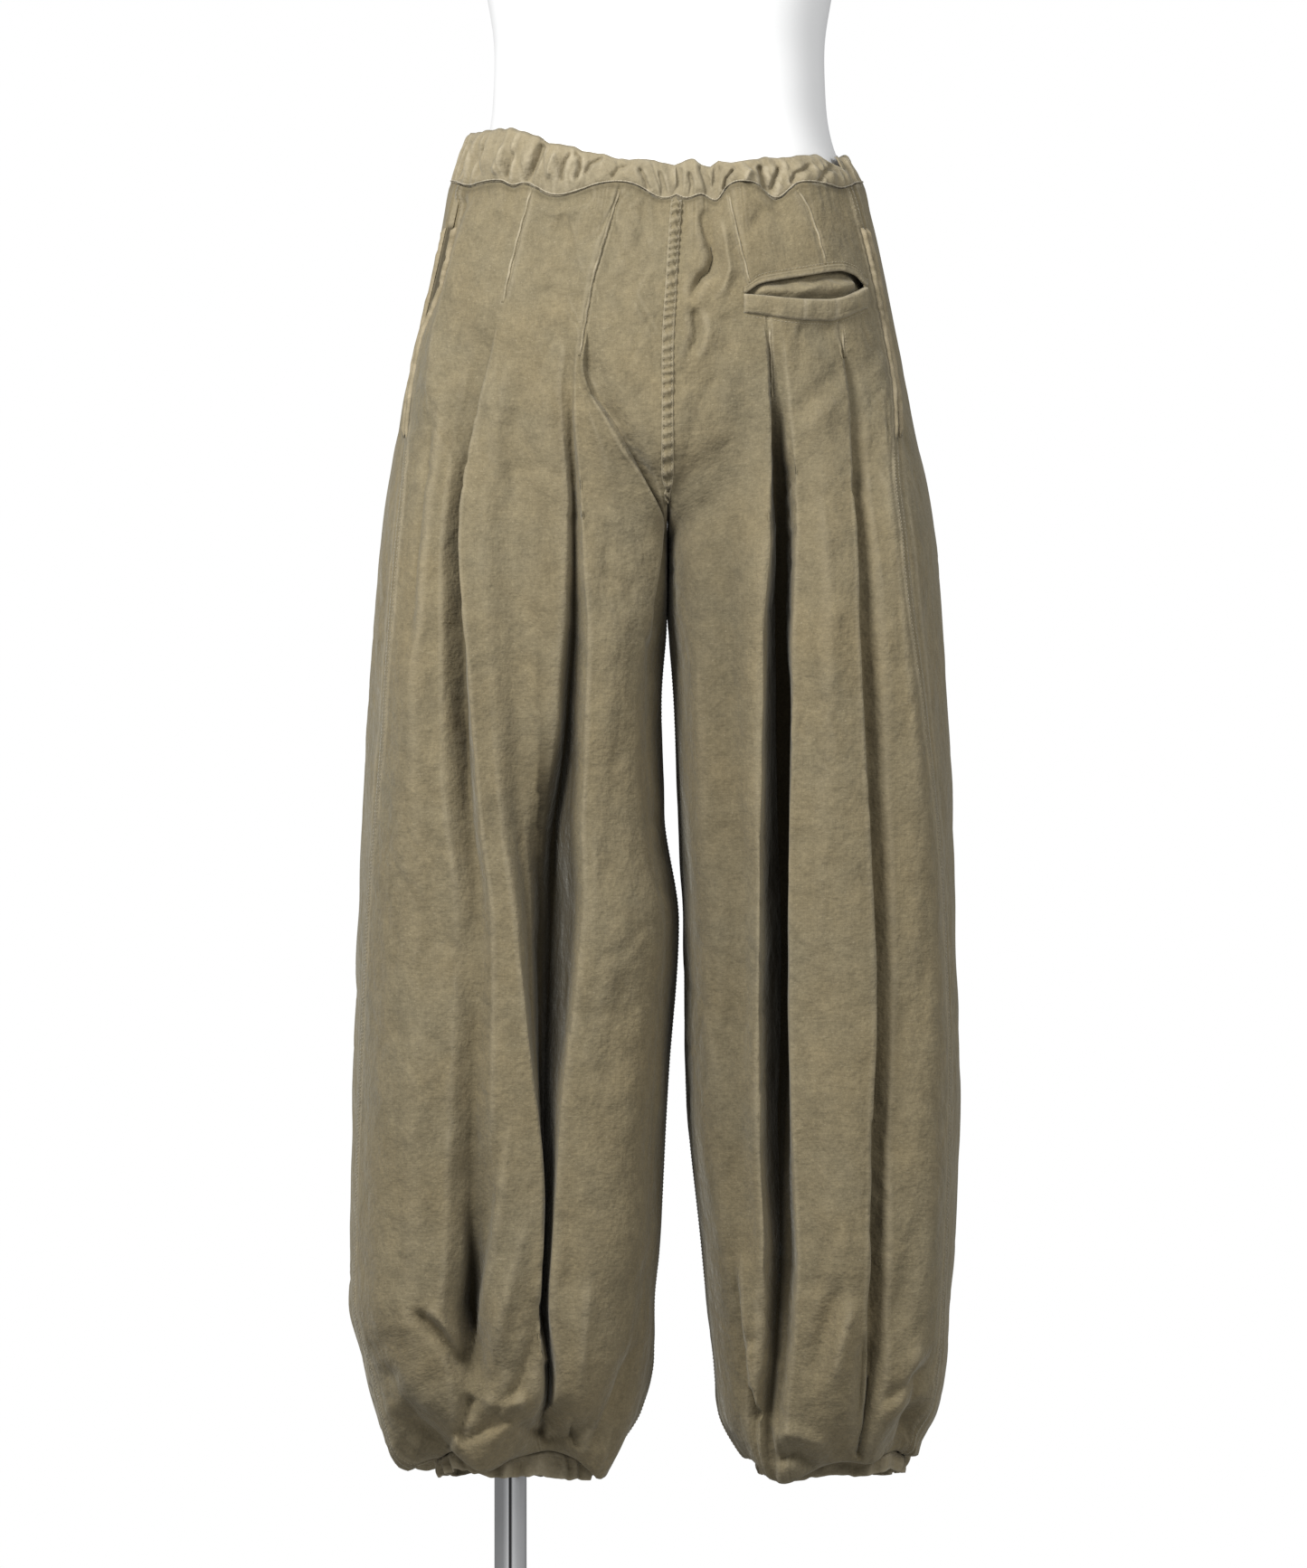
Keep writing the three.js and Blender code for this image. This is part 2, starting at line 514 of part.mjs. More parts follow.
// The direction in which the cloth runs on across a seam, in plan, from the centre back round to the front.
function seamTangent(side, level, around) {
  if (around > 0.01 && around < 0.99) {
    const out = outwardOf(side, level, around);
    return new THREE.Vector3(-side * out.y, side * out.x, 0);
  }
  const { share } = parting(level, around);
  const facing = around < 0.5 ? 1 : -1;
  return new THREE.Vector3(side * (1 - share) * facing, -share, 0).normalize();
}

function moved(grid, directions, distance) {
  return grid.map((row, r) => row.map((p, c) => p.clone().addScaledVector(directions[r][c], distance)));
}

// Rows of the panels, closer together where the cloth turns.
const rowLevels = [
  1138, 1116, 1088, 1055, 1022, 990, 960, 942, 924, 906, 888, 868, 835, 790, 735, 670, 605, 545, 480, 415, 355,
  305, 262, 225, 195, 170, 150, 135,
];

function panelGrid(side, curves) {
  return rowLevels.map((level) => creasedRow(curves, level).map((p) => clothPoint(side, level, p.around, p.depth)));
}

// The panel's seams stop half a seam gap short on each side.
function panel(side, curves) {
  const grid = panelGrid(side, curves);
  const tangents = rowLevels.map((level) => [0, curves.length - 1].map((i) => (
    seamTangent(side, level, curves[i].place(level))
  )));
  const outward = outwardGrid(grid, -side, tangents);
  grid.forEach((row, r) => {
    row[0].addScaledVector(tangents[r][0], seamGap / 2);
    row.at(-1).addScaledVector(tangents[r][1], -seamGap / 2);
  });
  return { grid, outward, geometry: wallSolid(grid, moved(grid, outward, -wall)) };
}

const left = { back: backCurves(LEFT, backLeftCreases) };
const right = { back: backCurves(RIGHT, backRightCreases) };
left.front = frontCurves(frontLeftCreases, left.back.at(-1));
right.front = frontCurves(frontRightCreases, right.back.at(-1));

const cloth = new THREE.MeshStandardMaterial({ color: 0x83795f, roughness: 0.95, metalness: 0 });
const trim = new THREE.MeshStandardMaterial({ color: 0xa08c6e, roughness: 0.95, metalness: 0 });
const white = new THREE.MeshStandardMaterial({ color: 0xf2f2f0, roughness: 0.6, metalness: 0 });
const chrome = new THREE.MeshStandardMaterial({ color: 0xb8b8bc, roughness: 0.15, metalness: 1 });

const model = new THREE.Group();
function add(name, geometry, material) {
  const mesh = new THREE.Mesh(geometry, material);
  mesh.name = name;
  model.add(mesh);
  return mesh;
}

const panels = {
  back_left: panel(LEFT, left.back),
  back_right: panel(RIGHT, right.back),
  front_left: panel(LEFT, left.front),
  front_right: panel(RIGHT, right.front),
};
for (const [name, made] of Object.entries(panels)) add(name, made.geometry, cloth);


// The depth of a panel's face at a level and a place round the half.
function depthOn(curves, level, around) {
  const row = creasedRow(curves, level);
  let i = 0;
  while (i < row.length - 2 && row[i + 1].around < around) i += 1;
  const t = (around - row[i].around) / (row[i + 1].around - row[i].around);
  return THREE.MathUtils.lerp(row[i].depth, row[i + 1].depth, THREE.MathUtils.clamp(t, 0, 1));
}

// A point at a distance along one row of a grid from one of its ends, with the wall's outward direction.
function fromEnd(made, row, atStart, distance) {
  const order = made.grid[row].map((_, i) => i);
  if (!atStart) order.reverse();
  const points = made.grid[row];
  const directions = made.outward[row];
  let left = distance;
  let i = 0;
  while (left > points[order[i]].distanceTo(points[order[i + 1]])) {
    left -= points[order[i]].distanceTo(points[order[i + 1]]);
    i += 1;
  }
  const share = left / points[order[i]].distanceTo(points[order[i + 1]]);
  return {
    point: points[order[i]].clone().lerp(points[order[i + 1]], share),
    outward: directions[order[i]].clone().normalize().lerp(directions[order[i + 1]].clone().normalize(), share).normalize(),
  };
}

// A strip that lies on panels: each row is a list of their points with directions, and lifts holds how far
// each row stands off them.
function strip(rows, lifts) {
  const raised = (extra) => rows.map((row, r) => (
    row.map((p) => p.point.clone().addScaledVector(p.outward, lifts[r] + extra))
  ));
  return wallSolid(raised(trimWall), raised(0));
}

function rowsBetween(high, low) {
  return rowLevels.map((level, i) => ({ level, i })).filter((r) => r.level <= high && r.level >= low).map((r) => r.i);
}

// The felled seam down the centre back. Its middle column sits on the panel's own first bend.
function strapPlaces(made, row) {
  const firstCell = made.grid[row][0].distanceTo(made.grid[row][1]);
  const bend = firstCell < strapHalfWidth - 0.6 ? firstCell : strapHalfWidth / 2;
  return [0.4, bend, strapHalfWidth].map((distance) => fromEnd(made, row, true, distance));
}

const strapRows = rowsBetween(waistLevel, strapEnd);
add("seam_centre_back", strip(
  strapRows.map((row) => [
    ...strapPlaces(panels.back_left, row).reverse(),
    ...strapPlaces(panels.back_right, row),
  ]),
  strapRows.map((row) => (rowLevels[row] < seatEndLevel ? seamGap + 0.9 : seamGap)),
), cloth);

// The bound edges of the side pockets, one on the back and one on the front panel of each side
for (const side of ["left", "right"]) {
  const rows = rowsBetween(...sidePocketLevels);
  add(`pocket_edge_${side}_back`, strip(rows.map((row) => [
    fromEnd(panels[`back_${side}`], row, false, 4.6),
    fromEnd(panels[`back_${side}`], row, false, 1),
  ]), rows.map(() => seamGap)), trim);
  add(`pocket_edge_${side}_front`, strip(rows.map((row, i) => [
    fromEnd(panels[`front_${side}`], row, true, i === 0 || i === rows.length - 1 ? 1 : 3),
    fromEnd(panels[`front_${side}`], row, true, i === 0 || i === rows.length - 1 ? 4.6 : 6.6),
  ]), rows.map(() => seamGap)), trim);
}

// The back pocket: a mouth cut through the panel, the facing behind it and the welt below it
const pocket = curvesOf(pocketColumns, pocketRows, "x");
const pocketPlaces = named(pocketColumns, pocketRows).map((row) => row.x);

function backAroundAtX(side, level, x) {
  const innerX = outline(side, level, 0).x;
  const outerX = outline(side, level, 0.5).x;
  return aroundAt(side, level, (x - innerX) / (outerX - innerX));
}

function pocketPoint(x, z, depthFrom) {
  const around = backAroundAtX(RIGHT, z, x);
  return clothPoint(RIGHT, z, around, depthFrom(depthOn(right.back, z, around)));
}

const mouthShape = new THREE.Shape();
const mouthLower = pocketPlaces.map((x) => [x, pocket.weltHigh(x) - 2]);
const mouthUpper = pocketPlaces.map((x) => [x, pocket.mouthHigh(x)]).reverse();
mouthShape.setFromPoints([...mouthLower, ...mouthUpper].map(([x, z]) => new THREE.Vector2(x, z)));
const mouthCutter = new THREE.ExtrudeGeometry(mouthShape, { depth: 160, bevelEnabled: false, steps: 1 });
mouthCutter.rotateX(Math.PI / 2).translate(0, -30, 0);
const panelWithMouth = manifoldOf(panels.back_right.geometry).subtract(manifoldOf(mouthCutter));
model.getObjectByName("back_right").geometry = geometryOf(panelWithMouth);

const facingPlaces = [61, 68, 80, 94, 108, 122, 136, 149, 160, 166];
const facingDepth = 2.6;
const facingPuff = -0.4;
const facingRows = [0, 1, 2, 3, 4].map((k) => facingPlaces.map((x) => {
  const inside = THREE.MathUtils.clamp(x, 68, 160);
  const low = pocket.weltHigh(inside) - 2;
  const high = pocket.mouthHigh(inside);
  const z = [low - 5, low - 0.5, (low + high) / 2, high + 0.5, high + 7][k];
  const open = k === 2 && x > 70 && x < 158 ? 1 : 0;
  return pocketPoint(x, z, (depth) => depth + (open ? facingPuff : facingDepth));
}));
const facingOutward = outwardGrid(facingRows, 1);
add("pocket_facing", wallSolid(facingRows, moved(facingRows, facingOutward, -trimWall)), cloth);

const weltPlaces = [67, 75, 84, 94, 104, 114, 124, 134, 144, 153, 161];
const weltRows = [0, 0.5, 1].map((share) => weltPlaces.map((x) => {
  const inside = THREE.MathUtils.clamp(x, 68, 160);
  const z = THREE.MathUtils.lerp(pocket.weltLow(inside), pocket.weltHigh(inside), share);
  return pocketPoint(x, z, () => -2.75 - (share === 0.5 ? 0.6 : 0));
}));
const weltOutward = outwardGrid(weltRows, 1);
add("pocket_welt", wallSolid(weltRows, moved(weltRows, weltOutward, -2)), cloth);

// Waist casing: it stands on the panels' top edge and its gathers reach in to the torso form
const bandHeights = curvesOf(bandColumns, bandRows, "around");

function gather(turns) {
  const uneven = turns + 0.33 * Math.sin(turns * 0.9 + 1) + 0.22 * Math.sin(turns * 2.3);
  const strength = 0.72 + 0.28 * Math.sin(turns * 1.7 + 0.6);
  return strength * (0.5 - 0.5 * Math.cos(2 * Math.PI * uneven));
}

function formPoint(z, angle, side) {
  const shape = roundedSquare(angle, formSquareness);
  const y = shape.cos > 0 ? -formSection.back(z) * shape.cos : -formSection.front(z) * shape.cos;
  return new THREE.Vector2(formX + side * formSection.halfWidth(z) * shape.sin, y);
}

// Places along a panel's edge row, with each cell split so that a gather gets three of them. The edge is
// followed exactly, so what is sewn to it keeps one even gap.
function edgePlaces(side, made, curves, row, gathers) {
  const arounds = creasedRow(curves, rowLevels[row]).map((p) => p.around);
  const points = made.grid[row];
  const places = [];
  for (let i = 0; i < points.length - 1; i += 1) {
    const parts = Math.max(1, Math.round((arounds[i + 1] - arounds[i]) * gathers * 3));
    for (let k = 0; k < parts; k += 1) {
      const share = k / parts;
      places.push({
        side,
        around: THREE.MathUtils.lerp(arounds[i], arounds[i + 1], share),
        point: points[i].clone().lerp(points[i + 1], share),
      });
    }
  }
  places.push({ side, around: arounds.at(-1), point: points.at(-1).clone() });
  return places;
}

function bandPoint({ side, around, point }, share) {
  const height = bandHeights[side === LEFT ? "left" : "right"](around);
  const z = point.z + seamGap + height * share;
  const out = outwardOf(side, waistLevel, around);
  const plan = new THREE.Vector2(formX + (point.x - formX) * (1 - bandTaper * share), point.y * (1 - bandTaper * share));
  const standoff = plan.clone().sub(formPoint(z, Math.PI * around, side)).dot(out);
  const fullness = [0.35, 1, 0.85, 0.6][Math.round(share * 3)];
  const wanted = gatherDepth * fullness * gather(bandGathers * around + (side === LEFT ? 0 : 5));
  const inward = Math.min(wanted, standoff - bandWall - seamGap - 0.1);
  plan.addScaledVector(out, -inward);
  return new THREE.Vector3(plan.x, plan.y, z);
}

// One piece of the casing from the left side seam by the centre to the right side seam.
function bandPiece(part, gathers) {
  const [leftPlaces, rightPlaces] = [LEFT, RIGHT].map((side) => {
    const name = `${part}_${side === LEFT ? "left" : "right"}`;
    const curves = (side === LEFT ? left : right)[part];
    const places = edgePlaces(side, panels[name], curves, 0, gathers);
    return part === "back" ? places : places.reverse();
  });
  const places = [...leftPlaces.reverse(), ...rightPlaces];
  const outer = [0, 1, 2, 3].map((k) => places.map((place) => bandPoint(place, k / 3)));
  const inner = outer.map((row) => row.map((p, i) => {
    const out = outwardOf(places[i].side, waistLevel, places[i].around);
    return new THREE.Vector3(p.x - out.x * bandWall, p.y - out.y * bandWall, p.z);
  }));
  return wallSolid(outer, inner);
}

add("waistband_back", bandPiece("back", bandGathers), cloth);
add("waistband_front", bandPiece("front", bandGathers * 0.75), cloth);

// Hem casings, each a ring under the two panels of a leg
function casing(side) {
  const name = side === LEFT ? "left" : "right";
  const curves = side === LEFT ? left : right;
  const row = rowLevels.length - 1;
  const places = [
    ...edgePlaces(side, panels[`back_${name}`], curves.back, row, casingGathers * 0.75).slice(0, -1),
    ...edgePlaces(side, panels[`front_${name}`], curves.front, row, casingGathers * 0.75).slice(0, -1),
  ];
  const outer = [0, 1, 2].map((k) => places.map(({ around, point }) => {
    const out = outwardOf(side, hemLevel, around);
    const inward = 5 * [0.2, 1, 0.8][k] * gather(casingGathers * around + (side === LEFT ? 2 : 9));
    return new THREE.Vector3(
      point.x - out.x * inward,
      point.y - out.y * inward,
      point.z - seamGap - 0.35 - (casingHeight * k) / 2,
    );
  }));
  const inner = outer.map((points) => points.map((p, i) => {
    const out = outwardOf(side, hemLevel, places[i].around);
    return new THREE.Vector3(p.x - out.x * casingWall, p.y - out.y * casingWall, p.z);
  }));
  return wallSolid(outer, inner, true);
}

add("hem_casing_left", casing(LEFT), cloth);
add("hem_casing_right", casing(RIGHT), cloth);

// Torso form, pole and foot
function stackedRings(rings) {
  const count = rings[0].length;
  const points = rings.flat();
  const bottomCentre = points.length;
  const centreOf = (ring) => ring.reduce((sum, p) => sum.add(p), new THREE.Vector3()).divideScalar(ring.length);
  points.push(centreOf(rings[0]), centreOf(rings.at(-1)));
  const faces = [];
  for (let r = 0; r < rings.length - 1; r += 1) {
    for (let i = 0; i < count; i += 1) {
      const next = (i + 1) % count;
      const [a, b, c, d] = [r * count + i, r * count + next, (r + 1) * count + next, (r + 1) * count + i];
      faces.push(a, b, c, a, c, d);
    }
  }
  const top = (rings.length - 1) * count;
  for (let i = 0; i < count; i += 1) {
    const next = (i + 1) % count;
    faces.push(bottomCentre, next, i, bottomCentre + 1, top + i, top + next);
  }
  return facingOut(points, faces);
}

const formSegments = 34;
const formRings = formRows.map(([z]) => {
  const ring = [];
  for (let i = 0; i < formSegments; i += 1) {
    const turn = (i / formSegments) * 2;
    const side = turn <= 1 ? RIGHT : LEFT;
    const plan = formPoint(z, Math.PI * (turn <= 1 ? turn : 2 - turn), side);
    ring.push(new THREE.Vector3(plan.x, plan.y, z));
  }
  return ring;
});
add("dress_form", stackedRings(formRings), white);

const poleBottom = footThickness + 0.2;
const poleTop = formRows[0][0] - 0.2;
const pole = new THREE.CylinderGeometry(poleRadius, poleRadius, poleTop - poleBottom, 32);
pole.rotateX(Math.PI / 2).translate(poleX, 0, (poleTop + poleBottom) / 2);
add("pole", pole, chrome);

const footProfile = [
  [0, 0],
  [footRadius - 1.5, 0],
  [footRadius, 1.5],
  [footRadius, footThickness - 1.5],
  [footRadius - 1.5, footThickness],
  [0, footThickness],
].map(([r, z]) => new THREE.Vector2(r, z));
const foot = new THREE.LatheGeometry(footProfile, 44);
foot.rotateX(Math.PI / 2).translate(poleX, 0, 0);
add("foot", foot, chrome);

// The origin sits on the floor under the middle of the whole part.
const extent = new THREE.Box3().setFromObject(model);
const middle = extent.getCenter(new THREE.Vector3());
model.position.set(-middle.x, -middle.y, -extent.min.z);
model.updateMatrixWorld(true);

export default model;
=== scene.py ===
import math

import bpy
import numpy as np
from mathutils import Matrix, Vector
from mathutils.bvhtree import BVHTree


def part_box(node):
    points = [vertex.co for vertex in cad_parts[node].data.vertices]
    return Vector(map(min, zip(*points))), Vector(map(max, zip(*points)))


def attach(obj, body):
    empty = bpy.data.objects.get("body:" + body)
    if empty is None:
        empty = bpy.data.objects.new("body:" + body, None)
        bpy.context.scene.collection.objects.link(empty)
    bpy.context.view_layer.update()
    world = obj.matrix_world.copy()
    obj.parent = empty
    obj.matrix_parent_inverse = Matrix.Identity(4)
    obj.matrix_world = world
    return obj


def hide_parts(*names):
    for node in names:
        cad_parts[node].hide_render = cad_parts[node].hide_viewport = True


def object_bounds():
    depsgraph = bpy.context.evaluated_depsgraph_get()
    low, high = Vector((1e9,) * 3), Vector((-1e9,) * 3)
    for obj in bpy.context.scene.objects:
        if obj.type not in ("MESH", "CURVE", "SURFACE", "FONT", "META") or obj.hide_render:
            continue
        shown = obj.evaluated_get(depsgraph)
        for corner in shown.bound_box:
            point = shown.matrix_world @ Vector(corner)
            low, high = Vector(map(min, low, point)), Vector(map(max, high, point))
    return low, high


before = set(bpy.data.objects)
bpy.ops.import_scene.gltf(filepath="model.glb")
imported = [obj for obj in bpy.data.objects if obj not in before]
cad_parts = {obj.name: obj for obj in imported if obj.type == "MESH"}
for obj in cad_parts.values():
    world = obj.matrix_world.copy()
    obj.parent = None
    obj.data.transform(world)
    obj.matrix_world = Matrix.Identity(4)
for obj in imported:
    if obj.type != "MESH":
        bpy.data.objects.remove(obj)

cad_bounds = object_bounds()
scene = bpy.context.scene

# The part's tables are in millimetres, with the plan's middle at a named place in the row frame
LEFT, RIGHT = -1, 1
SIDES = (("left", LEFT), ("right", RIGHT))
POLE_X = -113.8
pole_low, pole_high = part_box("pole")
OFFSET = np.array([
    (pole_low[0] + pole_high[0]) * 500.0 - POLE_X,
    (pole_low[1] + pole_high[1]) * 500.0,
    0.0,
])

# Levels of the cloth: the waist and the hem, the crotch, and where the seat parts into the legs
WAIST_LEVEL, HEM = 1138.0, 135.0
SEAT_END, CROTCH = 960.0, 868.0
BLEND_START, BLEND_END = 1050.0, 780.0
DART_HIGH, DART_LOW = 1036.0, 1000.0
SIDE_POCKET_LOW, SIDE_POCKET_HIGH = 944, 1109
SEAT_SQUARENESS, LEG_SQUARENESS = 0.03, 0.06

# Walls, clearance from the torso form, the gathers of the casings, and sizes of noise and weave
SHELL_WALL, CASING_SHELL, CLEARANCE = 1.1, 1.5, 3.2
BAND_WALL, BAND_TAPER, BAND_GATHERS, GATHER_DEPTH = 2.2, 0.075, 32, 8.0
CASING_HEIGHT, CASING_LAP, CASING_GATHERS = 13.0, 1.6, 22
SEAM_RADIUS = 0.55
LATTICE = (97, 89)
WEFT_PITCH, WARP_PITCH = 0.00105, 0.00085

# The torso form, the pole and the foot
FORM_X, FORM_LOW, FORM_HIGH, FORM_SQUARENESS = 1.4, 955, 1700, 0.03
POLE_TOP, FOOT_RADIUS, FOOT_ROUNDING = 954.8, 190, 1.5

# A photo pixel is 0.70 mm, with pixel column 727 at x 0 and pixel row 1650 at z 130
PIXEL, PHOTO_HEIGHT = 0.70, 1734
PIXEL_X0, PIXEL_Y0, PIXEL_Z0 = 727.0, 1650.0, 130.0


def mm(px, py):
    return (px - PIXEL_X0) * PIXEL, PIXEL_Z0 + (PIXEL_Y0 - py) * PIXEL


def to_pixels(x, z):
    return x / PIXEL + PIXEL_X0, PIXEL_Y0 - (z - PIXEL_Z0) / PIXEL


# Camera
CAMERA_DISTANCE = 30.0
aim_x, aim_z = mm(722.5, 867.0)
camera_data = bpy.data.cameras.new("camera")
camera_data.sensor_fit = "VERTICAL"
camera_data.sensor_height = 36.0
camera_data.lens = 36.0 * CAMERA_DISTANCE / (PHOTO_HEIGHT * PIXEL / 1000)
camera_data.clip_end = 100
camera = bpy.data.objects.new("camera", camera_data)
scene.collection.objects.link(camera)
camera.location = ((aim_x + OFFSET[0]) / 1000, -CAMERA_DISTANCE + OFFSET[1] / 1000, aim_z / 1000)
camera.rotation_euler = (math.radians(90), 0, 0)
scene.camera = camera

# Tables of the cloth's form: section rows give the outline at each level
SECTION_COLUMNS = ("level", "z", "seam", "leftOut", "leftIn", "rightIn", "rightOut", "back", "front")
SECTION_ROWS = (
    (1138, 1143, 14.7, -160, 14.7, 14.7, 159, 112, 108),
    (1075, 1075, 11, -174, 11, 11, 175, 132, 118),
    (1005, 1005, 7.7, -190, 7.5, 7.9, 188, 145, 124),
    (960, 960, 7.7, -199, 7.2, 8.2, 197, 149, 127),
    (868, 868, 7.7, -212, 7.6, 7.8, 214, 150, 130),
    (805, 805, 7.7, -217.5, 7.0, 8.6, 218.7, 149, 131),
    (739, 739, 7.7, -222, 3, 12.6, 223, 148, 132),
    (655, 655, 7.7, -226, 5, 16, 226, 147, 133),
    (571, 571, 7.7, -229.5, 16.5, 20, 228, 146, 134),
    (445, 445, 7.7, -234, 8, 22, 232, 145, 135),
    (319, 319, 7.7, -237, 1.5, 34, 228.5, 141, 134),
    (277, 277, 7.7, -238, -2.5, 38, 226, 137, 130),
    (235, 235, 7.7, -228, -3, 43, 224, 129, 122),
    (193, 193, 7.7, -217, -13, 47, 217, 114, 107),
    (165, 166, 7.7, -206, -30, 60, 205, 92, 86),
    (150, 156, 7.7, -190, -37, 69, 201, 76, 70),
    (135, 158, 7.7, -172, -43, 76, 193, 60, 56),
)

# Creases: name, place at each level, depth at each level, crispness
FLAT = (0,) * 7
BACK_LEVELS = (1138, 1005, 890, 739, 560, 340, 165)
BACK_LEFT = (
    ("centre seam", FLAT, FLAT, 0),
    ("seat", (0.12, 0.15, 0.005, 0.01, 0.015, 0.015, 0.03), FLAT, 0),
    ("flap tuck", (0.2, 0.321, 0.014, 0.04, 0.04, 0.035, 0.08), (0, 5.5, 10, 3, 1, 1, 1), 0.9),
    ("flap edge", (0.24, 0.331, 0.027, 0.1, 0.085, 0.06, 0.12), (0, -1.5, -4.5, -3.5, -2, -2, 0), 0.9),
    ("flap", (0.28, 0.344, 0.17, 0.18, 0.19, 0.2, 0.22), (0, 0, -4, -5, -5, -5, -3), 0),
    ("inner edge", (0.31, 0.357, 0.308, 0.258, 0.304, 0.344, 0.32), (0, 0, -2, -2, 0, 0, 2), 0.8),
    ("inner trough", (0.34, 0.377, 0.318, 0.289, 0.375, 0.356, 0.33), (0, 3, 14, 30, 64, 50, 8), 0.3),
    ("inner rise", (0.38, 0.42, 0.36, 0.36, 0.425, 0.362, 0.345), (0, 0, 3, 6, 48, 42, 7), 0),
    ("soft valley", (0.45, 0.52, 0.55, 0.484, 0.463, 0.367, 0.36), (0, 2, 8, 13, 24, 20, 4), 0),
    ("narrow ridge", (0.55, 0.62, 0.66, 0.585, 0.506, 0.374, 0.39), (0, 0, -1, 1, -1, -1, -1), 0.2),
    ("outer edge", (0.63, 0.7, 0.734, 0.652, 0.582, 0.542, 0.5), (0, 0, -3, -4, -1, 1, 0), 0.8),
    ("outer trough", (0.66, 0.712, 0.75, 0.69, 0.628, 0.624, 0.64), (0, 5, 24, 27, 13, 26, 8), 0.3),
    ("outer slope", (0.74, 0.8, 0.81, 0.77, 0.71, 0.7, 0.73), (0, 1, 5, 6, 3, 3, 2), 0),
    ("outer ridge", (0.82, 0.88, 0.87, 0.85, 0.82, 0.82, 0.83), (0, -2, -4, -4, -4, -4, -2), 0),
    ("side ridge", (0.92, 0.945, 0.93, 0.925, 0.955, 0.965, 0.95), (0, -1, -1, -1, 0, 0, 0), 0.3),
    ("side seam", (0.972, 0.979, 0.955, 0.953, 0.98, 0.985, 0.98), FLAT, 0),
)
BACK_RIGHT = (
    ("centre seam", FLAT, FLAT, 0),
    ("seat", (0.1, 0.12, 0.03, 0.02, 0.02, 0.02, 0.03), FLAT, 0),
    ("inner corner", (0.18, 0.24, 0.1, 0.09, 0.09, 0.08, 0.12), (0, 0, -1, -2, -2, -2, 0), 0),
    ("inner valley", (0.21, 0.33, 0.24, 0.19, 0.2, 0.16, 0.14), (0, 1, 4, 6, 7, 6, 3), 0),
    ("inner edge", (0.251, 0.432, 0.391, 0.327, 0.284, 0.253, 0.16), (0, 0, -3, -4, -4, -2, 0), 0.7),
    ("inner trough", (0.27, 0.441, 0.399, 0.335, 0.291, 0.259, 0.18), (0, 6, 30, 56, 62, 36, 9), 0.4),
    ("inner floor", (0.3, 0.462, 0.445, 0.4, 0.36, 0.335, 0.23), (0, 5, 26, 52, 58, 26, 6), 0.4),
    ("inner lip", (0.36, 0.51, 0.49, 0.435, 0.388, 0.385, 0.3), (0, 0, 2, 2, 2, 0, 0), 0.3),
    ("middle panel", (0.55, 0.63, 0.595, 0.56, 0.54, 0.53, 0.49), (0, -1, -4, -6, -6, -5, -3), 0),
    ("outer edge", (0.7, 0.76, 0.709, 0.693, 0.705, 0.665, 0.65), (0, 0, -2, -3, -3, -3, 0), 0.8),
    ("outer trough", (0.72, 0.771, 0.726, 0.71, 0.724, 0.684, 0.67), (0, 5, 13, 17, 19, 21, 9), 0.3),
    ("outer slope", (0.8, 0.85, 0.79, 0.79, 0.8, 0.76, 0.76), (0, 1, 4, 6, 7, 5, 2), 0),
    ("outer ridge", (0.88, 0.92, 0.845, 0.87, 0.915, 0.9, 0.9), (0, -1, -3, -4, -3, -3, -1), 0),
    ("side seam", (0.945, 0.955, 0.893, 0.924, 0.972, 0.97, 0.97), FLAT, 0),
)
FRONT_LEVELS = (1138, 890, 560, 165)
FRONT_LEFT = (
    ("side", (0.5, 0.5, 0.5, 0.5), (0, -1, -2, 0), 0),
    ("side edge", (0.555, 0.562, 0.568, 0.57), (0, -3, -4, 0), 0.7),
    ("side trough", (0.568, 0.577, 0.584, 0.584), (0, 16, 24, 8), 0.3),
    ("side slope", (0.6, 0.612, 0.618, 0.61), (0, 2, 5, 2), 0),
    ("thigh ridge", (0.65, 0.66, 0.665, 0.65), (0, -3, -5, -2), 0),
    ("front edge", (0.7, 0.71, 0.7, 0.7), (0, -3, -4, 0), 0.7),
    ("front trough", (0.712, 0.724, 0.718, 0.716), (0, 20, 42, 10), 0.4),
    ("front lip", (0.745, 0.756, 0.765, 0.75), (0, 0, 2, 0), 0.3),
    ("shin panel", (0.8, 0.815, 0.825, 0.81), (0, -4, -6, -3), 0),
    ("centre edge", (0.86, 0.87, 0.865, 0.87), (0, -2, -3, 0), 0.6),
    ("centre trough", (0.872, 0.884, 0.88, 0.882), (0, 9, 14, 5), 0.3),
    ("inner corner", (0.925, 0.93, 0.93, 0.93), (0, -1, -2, 0), 0),
    ("front seam", (1, 1, 1, 1), (0, 0, 0, 0), 0),
)
